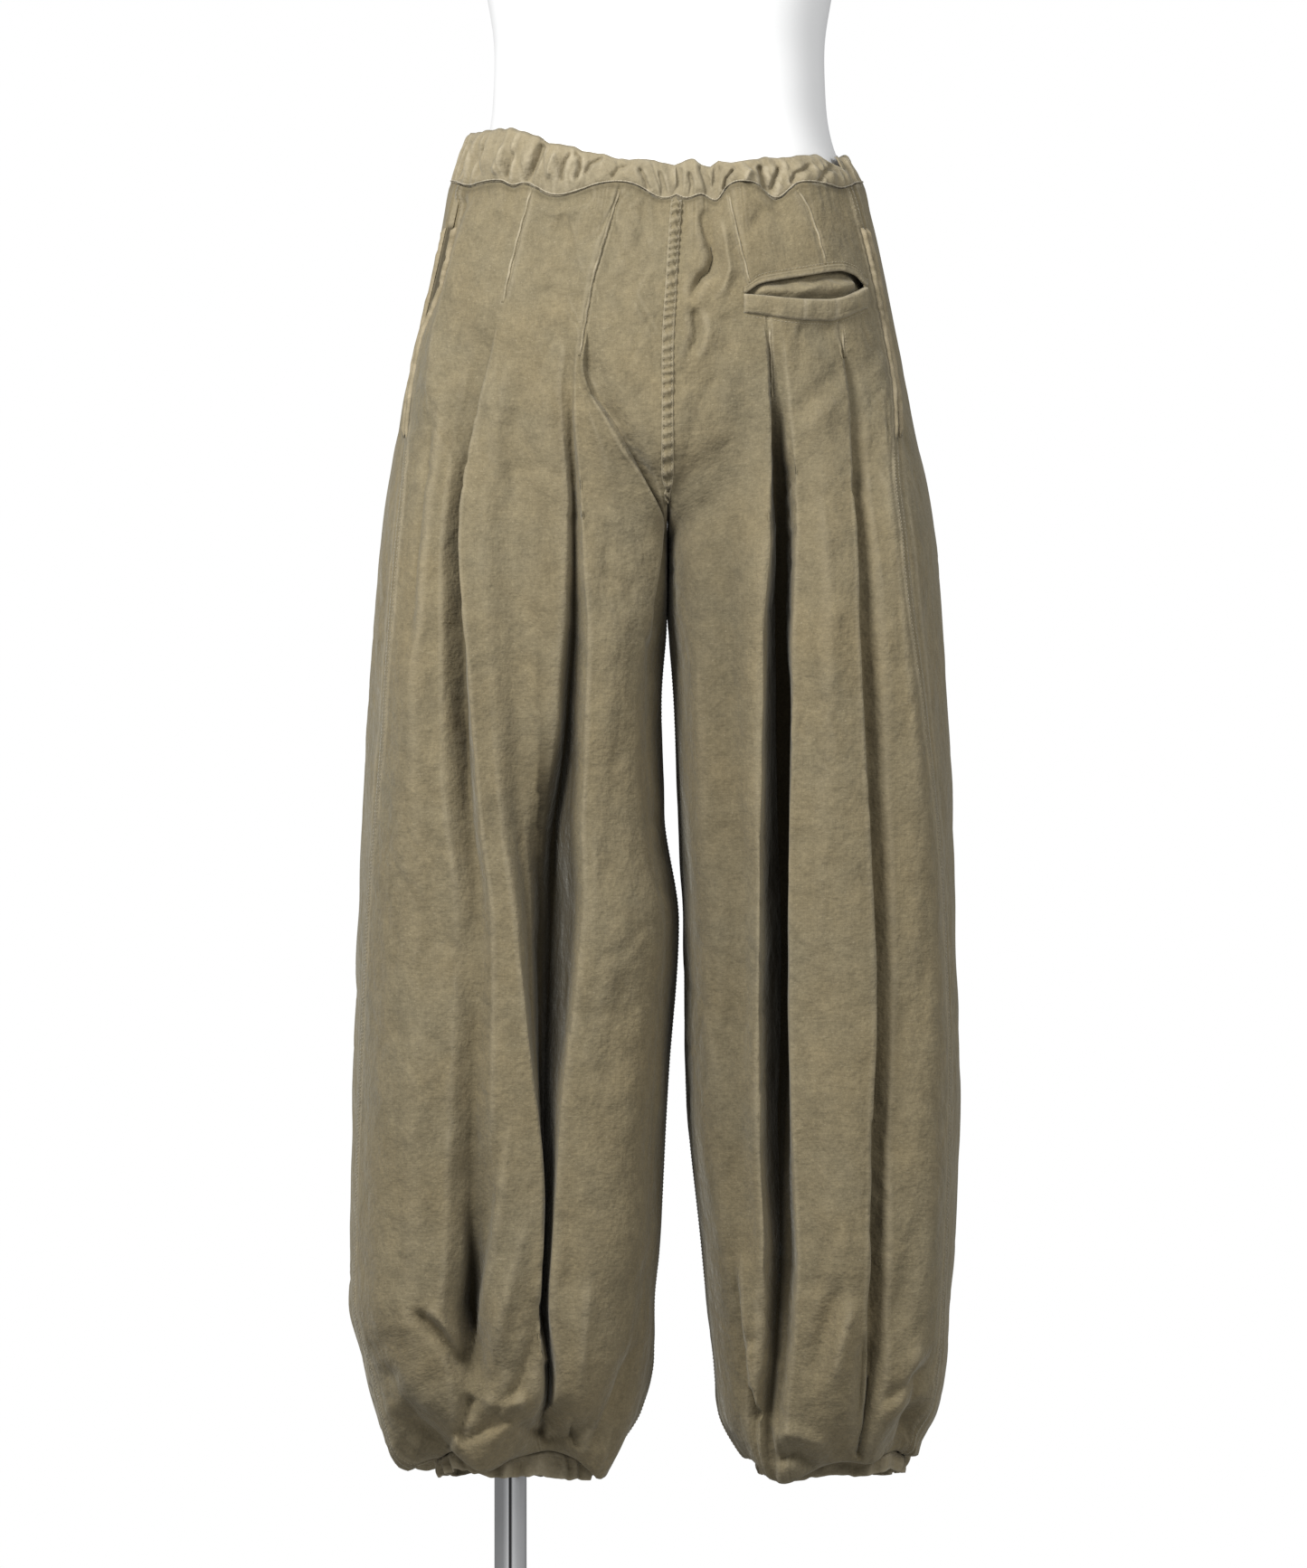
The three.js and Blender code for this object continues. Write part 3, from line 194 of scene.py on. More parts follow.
FRONT_RIGHT = (
    ("side", (0.5, 0.5, 0.5, 0.5), (0, -1, -2, 0), 0),
    ("side edge", (0.545, 0.552, 0.556, 0.56), (0, -3, -4, 0), 0.7),
    ("side trough", (0.558, 0.566, 0.572, 0.574), (0, 13, 20, 7), 0.3),
    ("side slope", (0.6, 0.6, 0.606, 0.61), (0, 2, 4, 2), 0),
    ("thigh ridge", (0.65, 0.65, 0.65, 0.65), (0, -3, -5, -2), 0),
    ("front edge", (0.69, 0.695, 0.685, 0.69), (0, -3, -4, 0), 0.7),
    ("front trough", (0.703, 0.709, 0.702, 0.705), (0, 24, 50, 10), 0.4),
    ("front lip", (0.735, 0.742, 0.748, 0.74), (0, 0, 2, 0), 0.3),
    ("shin panel", (0.8, 0.805, 0.81, 0.8), (0, -4, -6, -3), 0),
    ("centre edge", (0.85, 0.86, 0.855, 0.86), (0, -2, -3, 0), 0.6),
    ("centre trough", (0.862, 0.874, 0.871, 0.873), (0, 10, 17, 5), 0.3),
    ("inner corner", (0.92, 0.925, 0.93, 0.93), (0, -1, -2, 0), 0),
    ("front seam", (1, 1, 1, 1), (0, 0, 0, 0), 0),
)

# Puckers under the waist casing: side, place round the half, drop, pinch, width
PUCKERS = (
    (LEFT, 0.015, 14, 3, 0.03), (LEFT, 0.157, 12, 4, 0.045), (LEFT, 0.24, 4, 2, 0.015),
    (LEFT, 0.36, 4, 2, 0.05), (LEFT, 0.6, 9, 3, 0.03), (LEFT, 0.71, 6, 3, 0.03),
    (LEFT, 0.84, 12, 4, 0.03), (LEFT, 0.95, 7, 3, 0.025),
    (RIGHT, 0.015, 14, 3, 0.03), (RIGHT, 0.06, 14, 5, 0.018), (RIGHT, 0.165, 14, 4, 0.028),
    (RIGHT, 0.33, 5, 2, 0.06), (RIGHT, 0.58, 8, 3, 0.03), (RIGHT, 0.7, 7, 3, 0.035),
    (RIGHT, 0.81, 10, 4, 0.03), (RIGHT, 0.93, 8, 3, 0.025),
)
PUCKER_FADE = 38.0

# Lobes (more than 0) and drawn-up places (less than 0) of the legs' lower ends: side, place, drop, width
DROOPS = (
    (LEFT, 0.10, 18, 0.042), (LEFT, 0.203, -25, 0.034), (LEFT, 0.283, 12, 0.026),
    (LEFT, 0.365, -22, 0.036), (LEFT, 0.455, 11, 0.035), (LEFT, 0.53, -6, 0.03),
    (LEFT, 0.62, 13, 0.05), (LEFT, 0.716, -14, 0.028), (LEFT, 0.8, 15, 0.05), (LEFT, 0.885, -10, 0.025),
    (RIGHT, 0.175, 22, 0.055), (RIGHT, 0.305, 6, 0.028),
    (RIGHT, 0.385, -24, 0.042), (RIGHT, 0.5, -4, 0.04),
    (RIGHT, 0.575, -7, 0.025), (RIGHT, 0.64, 14, 0.05), (RIGHT, 0.707, -14, 0.028),
    (RIGHT, 0.79, 14, 0.05), (RIGHT, 0.875, -10, 0.025),
)
DROOP_START, DROOP_LOWEST = 215.0, 160.0

# Height of the waist casing: place round the half, left, right
BAND_HEIGHTS = (
    (0, 27, 27), (0.15, 25, 33), (0.3, 37, 24), (0.42, 39, 21), (0.6, 34, 24), (0.8, 31, 29), (1, 30, 30),
)

# The back pocket: x, lower and upper edge of the welt, upper edge of the mouth
POCKET = (
    (68, 1041, 1056, 1058.5), (80, 1039.5, 1055, 1066), (101, 1036.5, 1052.8, 1070), (117, 1035.5, 1052, 1072.5),
    (131, 1035, 1052, 1075), (141, 1037, 1053.5, 1076), (152, 1041.5, 1058, 1073), (160, 1045, 1062, 1065),
)

# The torso form: height, half width, reach to the back and to the front
FORM = (
    (955, 148, 96, 90), (963, 156, 103, 96), (985, 163, 111, 101), (1040, 166.5, 118, 105),
    (1090, 161.5, 114, 104), (1126, 152.5, 107, 101), (1145, 146, 102, 98.5), (1170, 134.5, 95, 95),
    (1200, 129, 90, 94), (1243, 127.5, 88, 95), (1290, 134, 91, 102), (1360, 148, 98, 113),
    (1425, 161, 104, 120), (1485, 170, 106, 113), (1535, 177, 102, 96), (1570, 176, 90, 78),
    (1594, 156, 74, 63), (1612, 112, 63, 55), (1632, 72, 55, 51), (1655, 58, 51, 50), (1700, 55, 50, 50),
)

# The darkest trough of each leg, in pixel columns, where the painted shade starts from the trough's edge
PAINTED_SHADE_TROUGH = {LEFT: (595, 665), RIGHT: (818, 885)}

# Left pleats, in photo pixels
OUTER_PLEAT = ((590, 204), (583, 232), (575, 260), (565, 300), (556, 340))
INNER_PLEAT = ((685, 212), (670, 260), (655, 310), (645, 370), (641, 400))

# Creases of the back that the photo shows: depth, width, fades at both ends, the line in pixels, and the
# kind where it isn't a soft valley or ridge
BACK_CREASES = (
    # Stitched pleat seams of the seat
    (0.9, 1.6, 0.0, 0.1, OUTER_PLEAT),
    (0.9, 1.6, 0.0, 0.1, INNER_PLEAT),
    (0.9, 1.6, 0.0, 0.1, ((806, 215), (818, 270), (829, 320))),
    (0.9, 1.6, 0.0, 0.1, ((848, 352), (852, 400), (853, 450))),
    (0.9, 1.6, 0.0, 0.1, ((880, 212), (893, 228), (905, 265), (914, 300))),
    (0.8, 1.6, 0.0, 0.1, ((929, 358), (932, 400))),
    (1.3, 10, 0.05, 0.2, INNER_PLEAT, "step"),
    (1.2, 9, 0.05, 0.2, OUTER_PLEAT, "lap"),
    # On the flap that opens below the inner pleat of the left leg
    (-1.6, 9, 0.2, 0.3, ((646, 440), (664, 490), (676, 550), (684, 620))),
    # Swirl of soft creases beside the centre seam
    (6.4, 4.2, 0.15, 0.3, ((777, 232), (783, 262), (789, 288), (784, 303), (775, 310), (767, 324), (764, 342))),
    (-3.4, 5.5, 0.2, 0.3, ((797, 240), (802, 275), (806, 300), (799, 322), (783, 340))),
    (3.8, 4.2, 0.2, 0.4, ((766, 338), (770, 358), (771, 376), (763, 390), (752, 404))),
    (1.4, 9, 0.2, 0.5, ((752, 404), (742, 450), (738, 500))),
    (-1.5, 5, 0.2, 0.4, ((778, 345), (783, 368), (778, 386), (766, 402))),
    # Under the waist casing
    (3.4, 4.5, 0.15, 0.2, ((586, 214), (604, 222), (622, 226), (648, 219), (657, 210))),
    (-1.8, 5, 0.2, 0.2, ((588, 228), (612, 236), (640, 233), (660, 226))),
    (2.0, 7, 0.1, 0.5, ((706, 226), (712, 250), (704, 285))),
    (1.6, 8, 0.2, 0.5, ((660, 232), (676, 262), (672, 300), (690, 340))),
    (2.4, 6, 0.1, 0.5, ((846, 230), (838, 246), (824, 262))),
    (1.8, 6, 0.1, 0.5, ((756, 226), (752, 262), (748, 320), (746, 380))),
    (1.4, 8, 0.2, 0.5, ((618, 235), (632, 275), (628, 320), (604, 352))),
    (1.6, 8, 0.2, 0.5, ((552, 232), (545, 268), (548, 300))),
    # Right of the seat, under the pocket
    (2.2, 8, 0.2, 0.4, ((938, 398), (918, 424), (894, 448), (866, 470))),
    (-1.4, 8, 0.2, 0.4, ((940, 425), (915, 452), (888, 474), (866, 500))),
    (1.8, 10, 0.2, 0.4, ((800, 400), (778, 440), (762, 490), (756, 540))),
    (1.8, 9, 0.1, 0.3, ((880, 366), (900, 374), (926, 370))),
    (1.6, 9, 0.2, 0.3, ((800, 345), (806, 375), (798, 410))),
    # Outer side of the left leg, from the waist down
    (-4.2, 9, 0.1, 0.3, ((528, 212), (514, 262), (500, 310), (486, 372), (476, 440), (470, 520))),
    (4.2, 7, 0.1, 0.4, ((513, 214), (498, 262), (484, 318), (468, 380))),
    (3.2, 9, 0.2, 0.4, ((540, 360), (522, 420), (505, 480), (498, 560))),
    (2.0, 13, 0.3, 0.4, ((560, 360), (572, 430), (566, 520), (575, 600))),
    (-2.0, 12, 0.3, 0.4, ((596, 380), (606, 470), (610, 560), (618, 660))),
    (4.0, 7, 0.2, 0.3, ((480, 410), (474, 470), (462, 560), (452, 660), (446, 760))),
    (1.8, 8, 0.3, 0.4, ((600, 510), (606, 590), (618, 668), (612, 740))),
    (-1.6, 8, 0.3, 0.4, ((622, 470), (628, 560), (632, 640), (628, 720))),
    (1.8, 10, 0.3, 0.4, ((668, 500), (676, 570), (672, 650), (664, 740))),
    # The middle of the left leg
    (2.4, 14, 0.3, 0.4, ((500, 760), (522, 830), (552, 900), (573, 980))),
    (-2.0, 12, 0.3, 0.4, ((478, 800), (492, 880), (506, 960), (514, 1040))),
    (1.8, 10, 0.3, 0.4, ((470, 900), (476, 980), (470, 1060), (462, 1140))),
    (2.0, 12, 0.3, 0.4, ((690, 760), (680, 850), (676, 940), (684, 1040))),
    (1.8, 12, 0.3, 0.4, ((700, 1050), (682, 1130), (668, 1210), (664, 1290))),
    (-1.6, 9, 0.3, 0.4, ((660, 900), (656, 990), (650, 1080))),
    # Lower part of the left leg
    (5.5, 10, 0.3, 0.15, ((560, 1210), (551, 1290), (541, 1370), (529, 1432), (522, 1490), (517, 1540)), "lap"),
    (5.0, 8, 0.3, 0.3, ((516, 1330), (517, 1395), (515, 1436), (522, 1474), (521, 1502), (515, 1540)), "step"),
    (-3.0, 8, 0.2, 0.3, ((585, 1340), (568, 1400), (552, 1466), (540, 1524))),
    (2.6, 7, 0.2, 0.3, ((604, 1420), (590, 1480), (574, 1530), (540, 1570), (508, 1592))),
    (3.4, 5, 0.2, 0.2, ((452, 1444), (470, 1458), (487, 1476), (500, 1494), (512, 1512))),
    (-2.4, 6, 0.2, 0.2, ((470, 1440), (490, 1458), (506, 1478), (516, 1498))),
    (2.8, 5, 0.1, 0.2, ((520, 1540), (513, 1566), (504, 1592))),
    (3.0, 9, 0.3, 0.1, ((424, 1560), (450, 1572), (478, 1584), (502, 1596))),
    (2.2, 5, 0.1, 0.3, ((504, 1594), (530, 1582), (556, 1570), (584, 1562))),
    (-2.2, 7, 0.2, 0.2, ((530, 1548), (556, 1552), (586, 1546))),
    (3.6, 5, 0.1, 0.1, ((607, 1500), (606, 1540), (602, 1572), (598, 1588))),
    (2.6, 5, 0.2, 0.3, ((566, 1566), (586, 1578), (607, 1589), (632, 1588), (652, 1574), (668, 1552))),
    (2.8, 4, 0.2, 0.2, ((634, 1570), (640, 1586), (641, 1602))),
    (-1.8, 8, 0.3, 0.3, ((650, 1400), (645, 1470), (640, 1540))),
    (3.0, 9, 0.3, 0.2, ((712, 1470), (690, 1530), (668, 1580), (650, 1604))),
    (2.0, 10, 0.3, 0.3, ((620, 1330), (628, 1352), (634, 1390), (630, 1440))),
    (1.8, 12, 0.3, 0.4, ((430, 1250), (440, 1330), (440, 1410), (452, 1470))),
    (2.6, 12, 0.3, 0.4, ((520, 1260), (505, 1310), (497, 1360), (502, 1400))),
    (2.2, 8, 0.3, 0.3, ((422, 1500), (436, 1540), (462, 1568))),
    # Inner strip of the right leg
    (2.4, 11, 0.3, 0.4, ((790, 560), (800, 650), (806, 750), (803, 850), (800, 950))),
    (-1.8, 8, 0.3, 0.4, ((770, 700), (776, 800), (778, 900), (780, 1000))),
    (1.8, 9, 0.3, 0.4, ((812, 980), (806, 1080), (800, 1180), (806, 1290))),
    (2.6, 8, 0.3, 0.3, ((802, 1340), (806, 1400), (810, 1460), (818, 1530), (838, 1585), (852, 1625))),
    (-2.2, 7, 0.3, 0.3, ((820, 1370), (824, 1440), (828, 1500))),
    (3.6, 4.5, 0.2, 0.1, ((846, 1396), (845, 1450), (844, 1510), (842, 1568))),
    (-3.0, 5, 0.2, 0.1, ((830, 1480), (834, 1520), (836, 1560))),
    (2.0, 5, 0.2, 0.3, ((826, 1530), (830, 1552), (838, 1572))),
    # Middle panel of the right leg
    (-1.8, 14, 0.3, 0.4, ((905, 520), (915, 640), (918, 760), (914, 880))),
    (1.6, 10, 0.3, 0.4, ((890, 560), (894, 680), (900, 800), (896, 920))),
    (1.8, 11, 0.3, 0.4, ((925, 900), (918, 1000), (910, 1100), (914, 1200))),
    (1.6, 12, 0.3, 0.4, ((890, 1180), (884, 1270), (886, 1370), (880, 1460))),
    (2.4, 9, 0.3, 0.3, ((938, 1400), (920, 1440), (906, 1490), (898, 1540))),
    (1.8, 10, 0.3, 0.3, ((930, 1330), (912, 1380), (902, 1440))),
    (-2.0, 9, 0.3, 0.3, ((945, 1430), (930, 1480), (920, 1540))),
    (3.4, 4.5, 0.2, 0.1, ((957, 1470), (953, 1520), (951, 1570), (949, 1616))),
    (3.2, 6, 0.2, 0.2, ((852, 1618), (866, 1608), (880, 1606), (892, 1616), (905, 1624), (922, 1614))),
    (-2.4, 7, 0.2, 0.2, ((850, 1592), (872, 1584), (896, 1592), (920, 1596))),
    (1.4, 2.2, 0.2, 0.0, ((850, 1568), (853, 1600), (857, 1646))),
    # Outer side of the right leg
    (2.0, 10, 0.3, 0.4, ((985, 560), (994, 660), (1000, 760), (1004, 860))),
    (-2.0, 10, 0.3, 0.4, ((966, 560), (974, 660), (982, 770), (988, 880))),
    (1.8, 9, 0.3, 0.4, ((1022, 900), (1026, 1000), (1022, 1100), (1016, 1200))),
    (2.0, 12, 0.3, 0.4, ((1000, 1060), (994, 1160), (986, 1260), (984, 1350))),
    (2.8, 8, 0.3, 0.2, ((1036, 1480), (1014, 1545), (994, 1588), (962, 1618))),
    (-2.2, 8, 0.3, 0.3, ((1020, 1470), (1000, 1530), (978, 1580))),
    (2.2, 7, 0.3, 0.3, ((1034, 1506), (1000, 1530), (968, 1556))),
    (1.8, 9, 0.3, 0.4, ((1020, 1330), (1006, 1390), (990, 1450), (974, 1500))),
    (2.0, 7, 0.2, 0.4, ((1000, 420), (1004, 470), (1010, 530))),
)

# Worn lines that show lighter: width in millimetres and the line in pixels. The first ones are stitched.
STITCHED_LINES = 6
WORN_LINES = (
    (1.3, ((588, 205), (581, 232), (573, 260), (563, 300), (554, 340))),
    (1.2, ((683, 212), (668, 260), (653, 310), (643, 370), (640, 400))),
    (1.3, ((803, 215), (815, 270), (829, 322))),
    (1.2, ((850, 352), (853, 400), (854, 450))),
    (1.3, ((878, 212), (891, 228), (903, 265), (915, 305))),
    (1.1, ((930, 358), (934, 400))),
    (1.0, ((643, 402), (667, 442), (692, 484), (718, 524))),
    (1.4, ((851, 1575), (855, 1610), (858, 1648))),
)

# Creases of the front, drawn as if it were seen through the back, in the same pixels
FRONT_CREASES = (
    (1.0, 1.6, 0.0, 0.1, ((598, 204), (588, 250), (576, 300), (566, 340))),
    (1.0, 1.6, 0.0, 0.1, ((672, 212), (662, 262), (650, 320), (644, 370))),
    (1.0, 1.6, 0.0, 0.1, ((808, 214), (820, 262), (832, 320), (838, 372))),
    (1.0, 1.6, 0.0, 0.1, ((884, 212), (896, 256), (908, 300), (918, 345))),
    (3.0, 6, 0.2, 0.3, ((716, 236), (706, 268), (712, 300), (726, 330))),
    (2.4, 7, 0.2, 0.4, ((770, 240), (778, 280), (768, 330), (758, 390))),
    (2.2, 9, 0.2, 0.4, ((660, 420), (684, 470), (704, 530), (716, 600))),
    (2.2, 9, 0.2, 0.4, ((822, 420), (800, 470), (782, 530), (772, 600))),
    (2.2, 12, 0.3, 0.4, ((560, 430), (548, 540), (552, 660), (545, 780))),
    (-2.0, 12, 0.3, 0.4, ((600, 500), (596, 620), (604, 740), (600, 860))),
    (2.0, 12, 0.3, 0.4, ((905, 450), (916, 560), (920, 680), (926, 800))),
    (-2.0, 12, 0.3, 0.4, ((950, 520), (962, 640), (966, 760), (972, 880))),
    (2.4, 12, 0.3, 0.4, ((480, 800), (492, 920), (488, 1040), (496, 1160))),
    (2.4, 12, 0.3, 0.4, ((1004, 820), (1000, 940), (1006, 1060), (998, 1180))),
    (2.6, 9, 0.3, 0.2, ((470, 1400), (486, 1470), (508, 1530), (540, 1590))),
    (2.6, 9, 0.3, 0.2, ((650, 1420), (640, 1490), (622, 1550), (600, 1600))),
    (-2.2, 9, 0.3, 0.3, ((560, 1400), (566, 1480), (572, 1560))),
    (2.6, 9, 0.3, 0.2, ((820, 1420), (832, 1490), (846, 1560), (864, 1610))),
    (2.6, 9, 0.3, 0.2, ((1020, 1420), (1004, 1500), (980, 1560), (950, 1604))),
    (-2.2, 9, 0.3, 0.3, ((905, 1400), (900, 1490), (896, 1570))),
    (1.8, 10, 0.3, 0.4, ((690, 760), (698, 880), (692, 1000), (700, 1120))),
    (1.8, 10, 0.3, 0.4, ((800, 760), (790, 880), (796, 1000), (788, 1120))),
)

# Upper edge of the casing in the back, in photo pixels
TOP_EDGE = (
    (490, 152), (510, 148), (525, 145), (551, 144), (565, 147), (584, 153), (596, 160), (618, 162), (637, 169),
    (661, 173), (680, 179), (704, 178), (723, 179), (747, 185), (759, 179), (771, 178), (780, 184), (790, 187),
    (800, 181), (823, 182), (838, 179), (857, 176), (881, 176), (895, 174), (919, 172), (938, 182), (965, 190),
)

# Folds across the casing in the back
BAND_FOLDS = (
    (3.2, 2.6, 0.1, 0.1, ((582, 208), (587, 196), (594, 180), (601, 160))),
    (2.2, 1.8, 0.1, 0.2, ((622, 204), (622, 192), (626, 178), (634, 170))),
    (2.0, 1.6, 0.1, 0.2, ((634, 170), (642, 178), (642, 190), (636, 204))),
    (1.8, 2.0, 0.1, 0.3, ((646, 196), (654, 184), (670, 176))),
    (1.4, 2.2, 0.1, 0.3, ((676, 200), (684, 190), (700, 184))),
    (2.6, 2.4, 0.0, 0.3, ((736, 224), (733, 206), (728, 188))),
    (2.0, 2.2, 0.1, 0.2, ((718, 214), (712, 198), (706, 186))),
    (3.0, 2.4, 0.0, 0.2, ((748, 222), (752, 206), (751, 186))),
    (2.2, 1.8, 0.0, 0.3, ((764, 222), (765, 204), (761, 190))),
    (4.4, 2.2, 0.0, 0.1, ((787, 236), (783, 210), (775, 184))),
    (4.0, 2.2, 0.0, 0.1, ((789, 236), (790, 210), (793, 186))),
    (2.0, 1.8, 0.1, 0.2, ((800, 214), (803, 200), (812, 188))),
    (3.6, 2.2, 0.0, 0.1, ((848, 228), (844, 204), (838, 184))),
    (3.0, 2.0, 0.0, 0.2, ((849, 228), (853, 206), (862, 184))),
    (1.6, 2.4, 0.1, 0.3, ((872, 206), (880, 194), (900, 182))),
    (1.8, 2.0, 0.1, 0.3, ((905, 204), (908, 192), (922, 182))),
    (1.6, 2.4, 0.1, 0.3, ((560, 200), (566, 182), (572, 166))),
    (2.0, 2.4, 0.1, 0.3, ((531, 198), (530, 180), (538, 158))),
    (2.4, 2.6, 0.1, 0.2, ((512, 200), (514, 178), (522, 154))),
    (-1.4, 3.0, 0.2, 0.2, ((548, 196), (556, 178), (562, 160))),
    (-1.6, 3.0, 0.2, 0.2, ((608, 200), (610, 184), (616, 170))),
    (-1.4, 3.0, 0.2, 0.2, ((820, 208), (824, 196), (830, 188))),
)


# Cubic between a and b with the slopes m0 and m1 at the ends
def hermite(t, a, b, m0, m1):
    t2 = t * t
    t3 = t2 * t
    return (2 * t3 - 3 * t2 + 1) * a + (t3 - 2 * t2 + t) * m0 + (3 * t2 - 2 * t3) * b + (t3 - t2) * m1


# A curve through the values that doesn't overshoot between them
def smooth_curve(places, values):
    order = np.argsort(places)
    x = np.asarray(places, float)[order]
    y = np.asarray(values, float)[order]
    rise = np.diff(y) / np.diff(x)
    slope = np.zeros(len(x))
    slope[0], slope[-1] = rise[0], rise[-1]
    for i in range(1, len(x) - 1):
        if rise[i - 1] * rise[i] > 0:
            slope[i] = 2 * rise[i - 1] * rise[i] / (rise[i - 1] + rise[i])

    def at(v):
        v = np.clip(v, x[0], x[-1])
        i = np.clip(np.searchsorted(x, v) - 1, 0, len(x) - 2)
        step = x[i + 1] - x[i]
        return hermite((v - x[i]) / step, y[i], y[i + 1], slope[i] * step, slope[i + 1] * step)

    return at


def smoothstep(v, low, high):
    t = np.clip((v - low) / (high - low), 0, 1)
    return t * t * (3 - 2 * t)


# The distance run along rows of points, from 0
def run_along(points, axis=0):
    step = np.linalg.norm(np.diff(points, axis=axis), axis=-1)
    return np.concatenate([0 * step.take([0], axis), np.cumsum(step, axis)], axis)


def bell(value, centre, width):
    return np.exp(-(((value - centre) / width) ** 2))


def unit(vectors):
    return vectors / np.maximum(np.linalg.norm(vectors, axis=-1, keepdims=True), 1e-9)


def smooth_rows(values, times):
    for _ in range(times):
        values = np.concatenate([values[:1], (values[:-2] + 2 * values[1:-1] + values[2:]) / 4, values[-1:]])
    return values


# Curves over the first column of a table's rows
def column_curve(rows, column):
    return smooth_curve([row[0] for row in rows], [row[column] for row in rows])


SECTION = {name: column_curve(SECTION_ROWS, i) for i, name in enumerate(SECTION_COLUMNS)}
BAND_LEFT, BAND_RIGHT = column_curve(BAND_HEIGHTS, 1), column_curve(BAND_HEIGHTS, 2)
WELT_LOW, WELT_HIGH, MOUTH_HIGH = (column_curve(POCKET, i) for i in (1, 2, 3))
MOUTH_LOW = lambda x: WELT_HIGH(x) - 2
MOUTH_START, MOUTH_END = POCKET[0][0], POCKET[-1][0]
form_wide, form_back, form_front = (column_curve(FORM, i) for i in (1, 2, 3))
# Depth of the casings' gathers and swell of the waist casing, over the share of the way up or down
FULLNESS = smooth_curve([0, 0.33, 0.67, 1], [0.35, 1, 0.85, 0.6])
PUFF = smooth_curve([0, 0.1, 0.3, 0.6, 0.86, 1], [0.1, 1.5, 2.3, 1.9, 1.2, -0.4])
CASING_DEPTH = smooth_curve([0, 0.5, 1], [0.2, 1, 0.8])


# Sine and cosine of a circle flattened towards a square
def rounded_square(angle, squareness):
    return (
        (np.sin(angle) + squareness * np.sin(3 * angle)) / (1 - squareness),
        (np.cos(angle) - squareness * np.cos(3 * angle)) / (1 - squareness),
    )


# How far the seat has parted into two legs, and how far the crotch's cloth hangs below its level
def parting(level, around):
    turn = np.clip((SEAT_END - level) / (SEAT_END - CROTCH), 0, 1) * (math.pi / 2)
    at_seam = 1 - smoothstep(np.minimum(around, 1 - around), 0, 0.17)
    wide = smoothstep(BLEND_START - level, 0, BLEND_START - BLEND_END)
    linear = SEAT_END - np.clip(level, CROTCH, SEAT_END)
    share = at_seam * (1 - np.cos(turn)) + (1 - at_seam) * wide
    return share, at_seam * ((SEAT_END - CROTCH) * np.sin(turn) - linear)


# Plan of one half of the trousers: around runs from the back seam (0) by the side (0.5) to the front (1)
def outline(side, level, around):
    name = "left" if side == LEFT else "right"
    out, inner = SECTION[name + "Out"](level), SECTION[name + "In"](level)
    seam = SECTION["seam"](level) + side * 0.02
    back, front = SECTION["back"](level), SECTION["front"](level)
    seat_sin, seat_cos = rounded_square(math.pi * around, SEAT_SQUARENESS)
    leg_sin, leg_cos = rounded_square(2 * math.pi * around - math.pi / 2, LEG_SQUARENESS)
    share, _ = parting(level, around)
    seat_y = np.where(seat_cos > 0, -back * seat_cos, -front * seat_cos)
    leg_y = (front - back) / 2 - ((front + back) / 2) * leg_cos
    leg_x = (inner + out) / 2 + ((out - inner) / 2) * leg_sin
    x = (1 - share) * (seam + (out - seam) * seat_sin) + share * leg_x
    return pressed(side, level, around, x), (1 - share) * seat_y + share * leg_y


# Just below the crotch the legs press on each other, so their corners reach the seam's line
def pressed(side, level, around, x):
    share = smoothstep(level, 772, 838) * (1 - smoothstep(level, 918, 952))
    from_end = np.minimum(around, 1 - around)
    share = share * (1 - smoothstep(from_end, 0.03, 0.15)) * 0.93
    shift = 1.1 * np.cos(math.pi * around) * smoothstep(from_end, 0, 0.02)
    return x + share * (SECTION["seam"](level) + side * 0.25 + shift - x)


# The horizontal way out of the cloth
def outward_of(side, level, around):
    x0, y0 = outline(side, level, around - 1e-3)
    x1, y1 = outline(side, level, around + 1e-3)
    nx, ny = side * (y1 - y0), -side * (x1 - x0)
    size = np.hypot(nx, ny)
    return nx / size, ny / size


# Where the back lies at a share of the way across it, by halving
def around_at(side, level, across):
    inner, _ = outline(side, level, np.zeros_like(level))
    outer, _ = outline(side, level, np.full_like(level, 0.5))
    wanted = inner + across * (outer - inner)
    low, high = np.zeros_like(level), np.full_like(level, 0.5)
    for _ in range(26):
        middle = (low + high) / 2
        x, _ = outline(side, level, middle)
        less = (x - wanted) * side < 0
        low, high = np.where(less, middle, low), np.where(less, high, middle)
    return (low + high) / 2


# Drop and pinch of the puckers under the waist casing
def pucker_at(side, level, around):
    fade = np.exp(-(WAIST_LEVEL - level) / PUCKER_FADE)
    drop, pinch = np.zeros_like(around), np.zeros_like(around)
    for s, place, d, p, width in PUCKERS:
        if s == side:
            share = fade * bell(around, place, width)
            drop, pinch = drop + d * share, pinch + p * share
    return drop, pinch


# Lobes and drawn-up places of the lower end
def droop_at(side, level, around):
    share = smoothstep(DROOP_START - level, 0, DROOP_START - DROOP_LOWEST)
    share = share - 0.8 * smoothstep(DROOP_LOWEST - level, 0, DROOP_LOWEST - HEM)
    total = np.zeros_like(around)
    for s, place, d, width in DROOPS:
        if s == side:
            total = total + share * d * bell(around, place, width)
    return total


# Plan of the torso form
def form_plan(z, angle, side):
    sine, cosine = rounded_square(angle, FORM_SQUARENESS)
    return FORM_X + side * form_wide(z) * sine, -np.where(cosine > 0, form_back(z), form_front(z)) * cosine


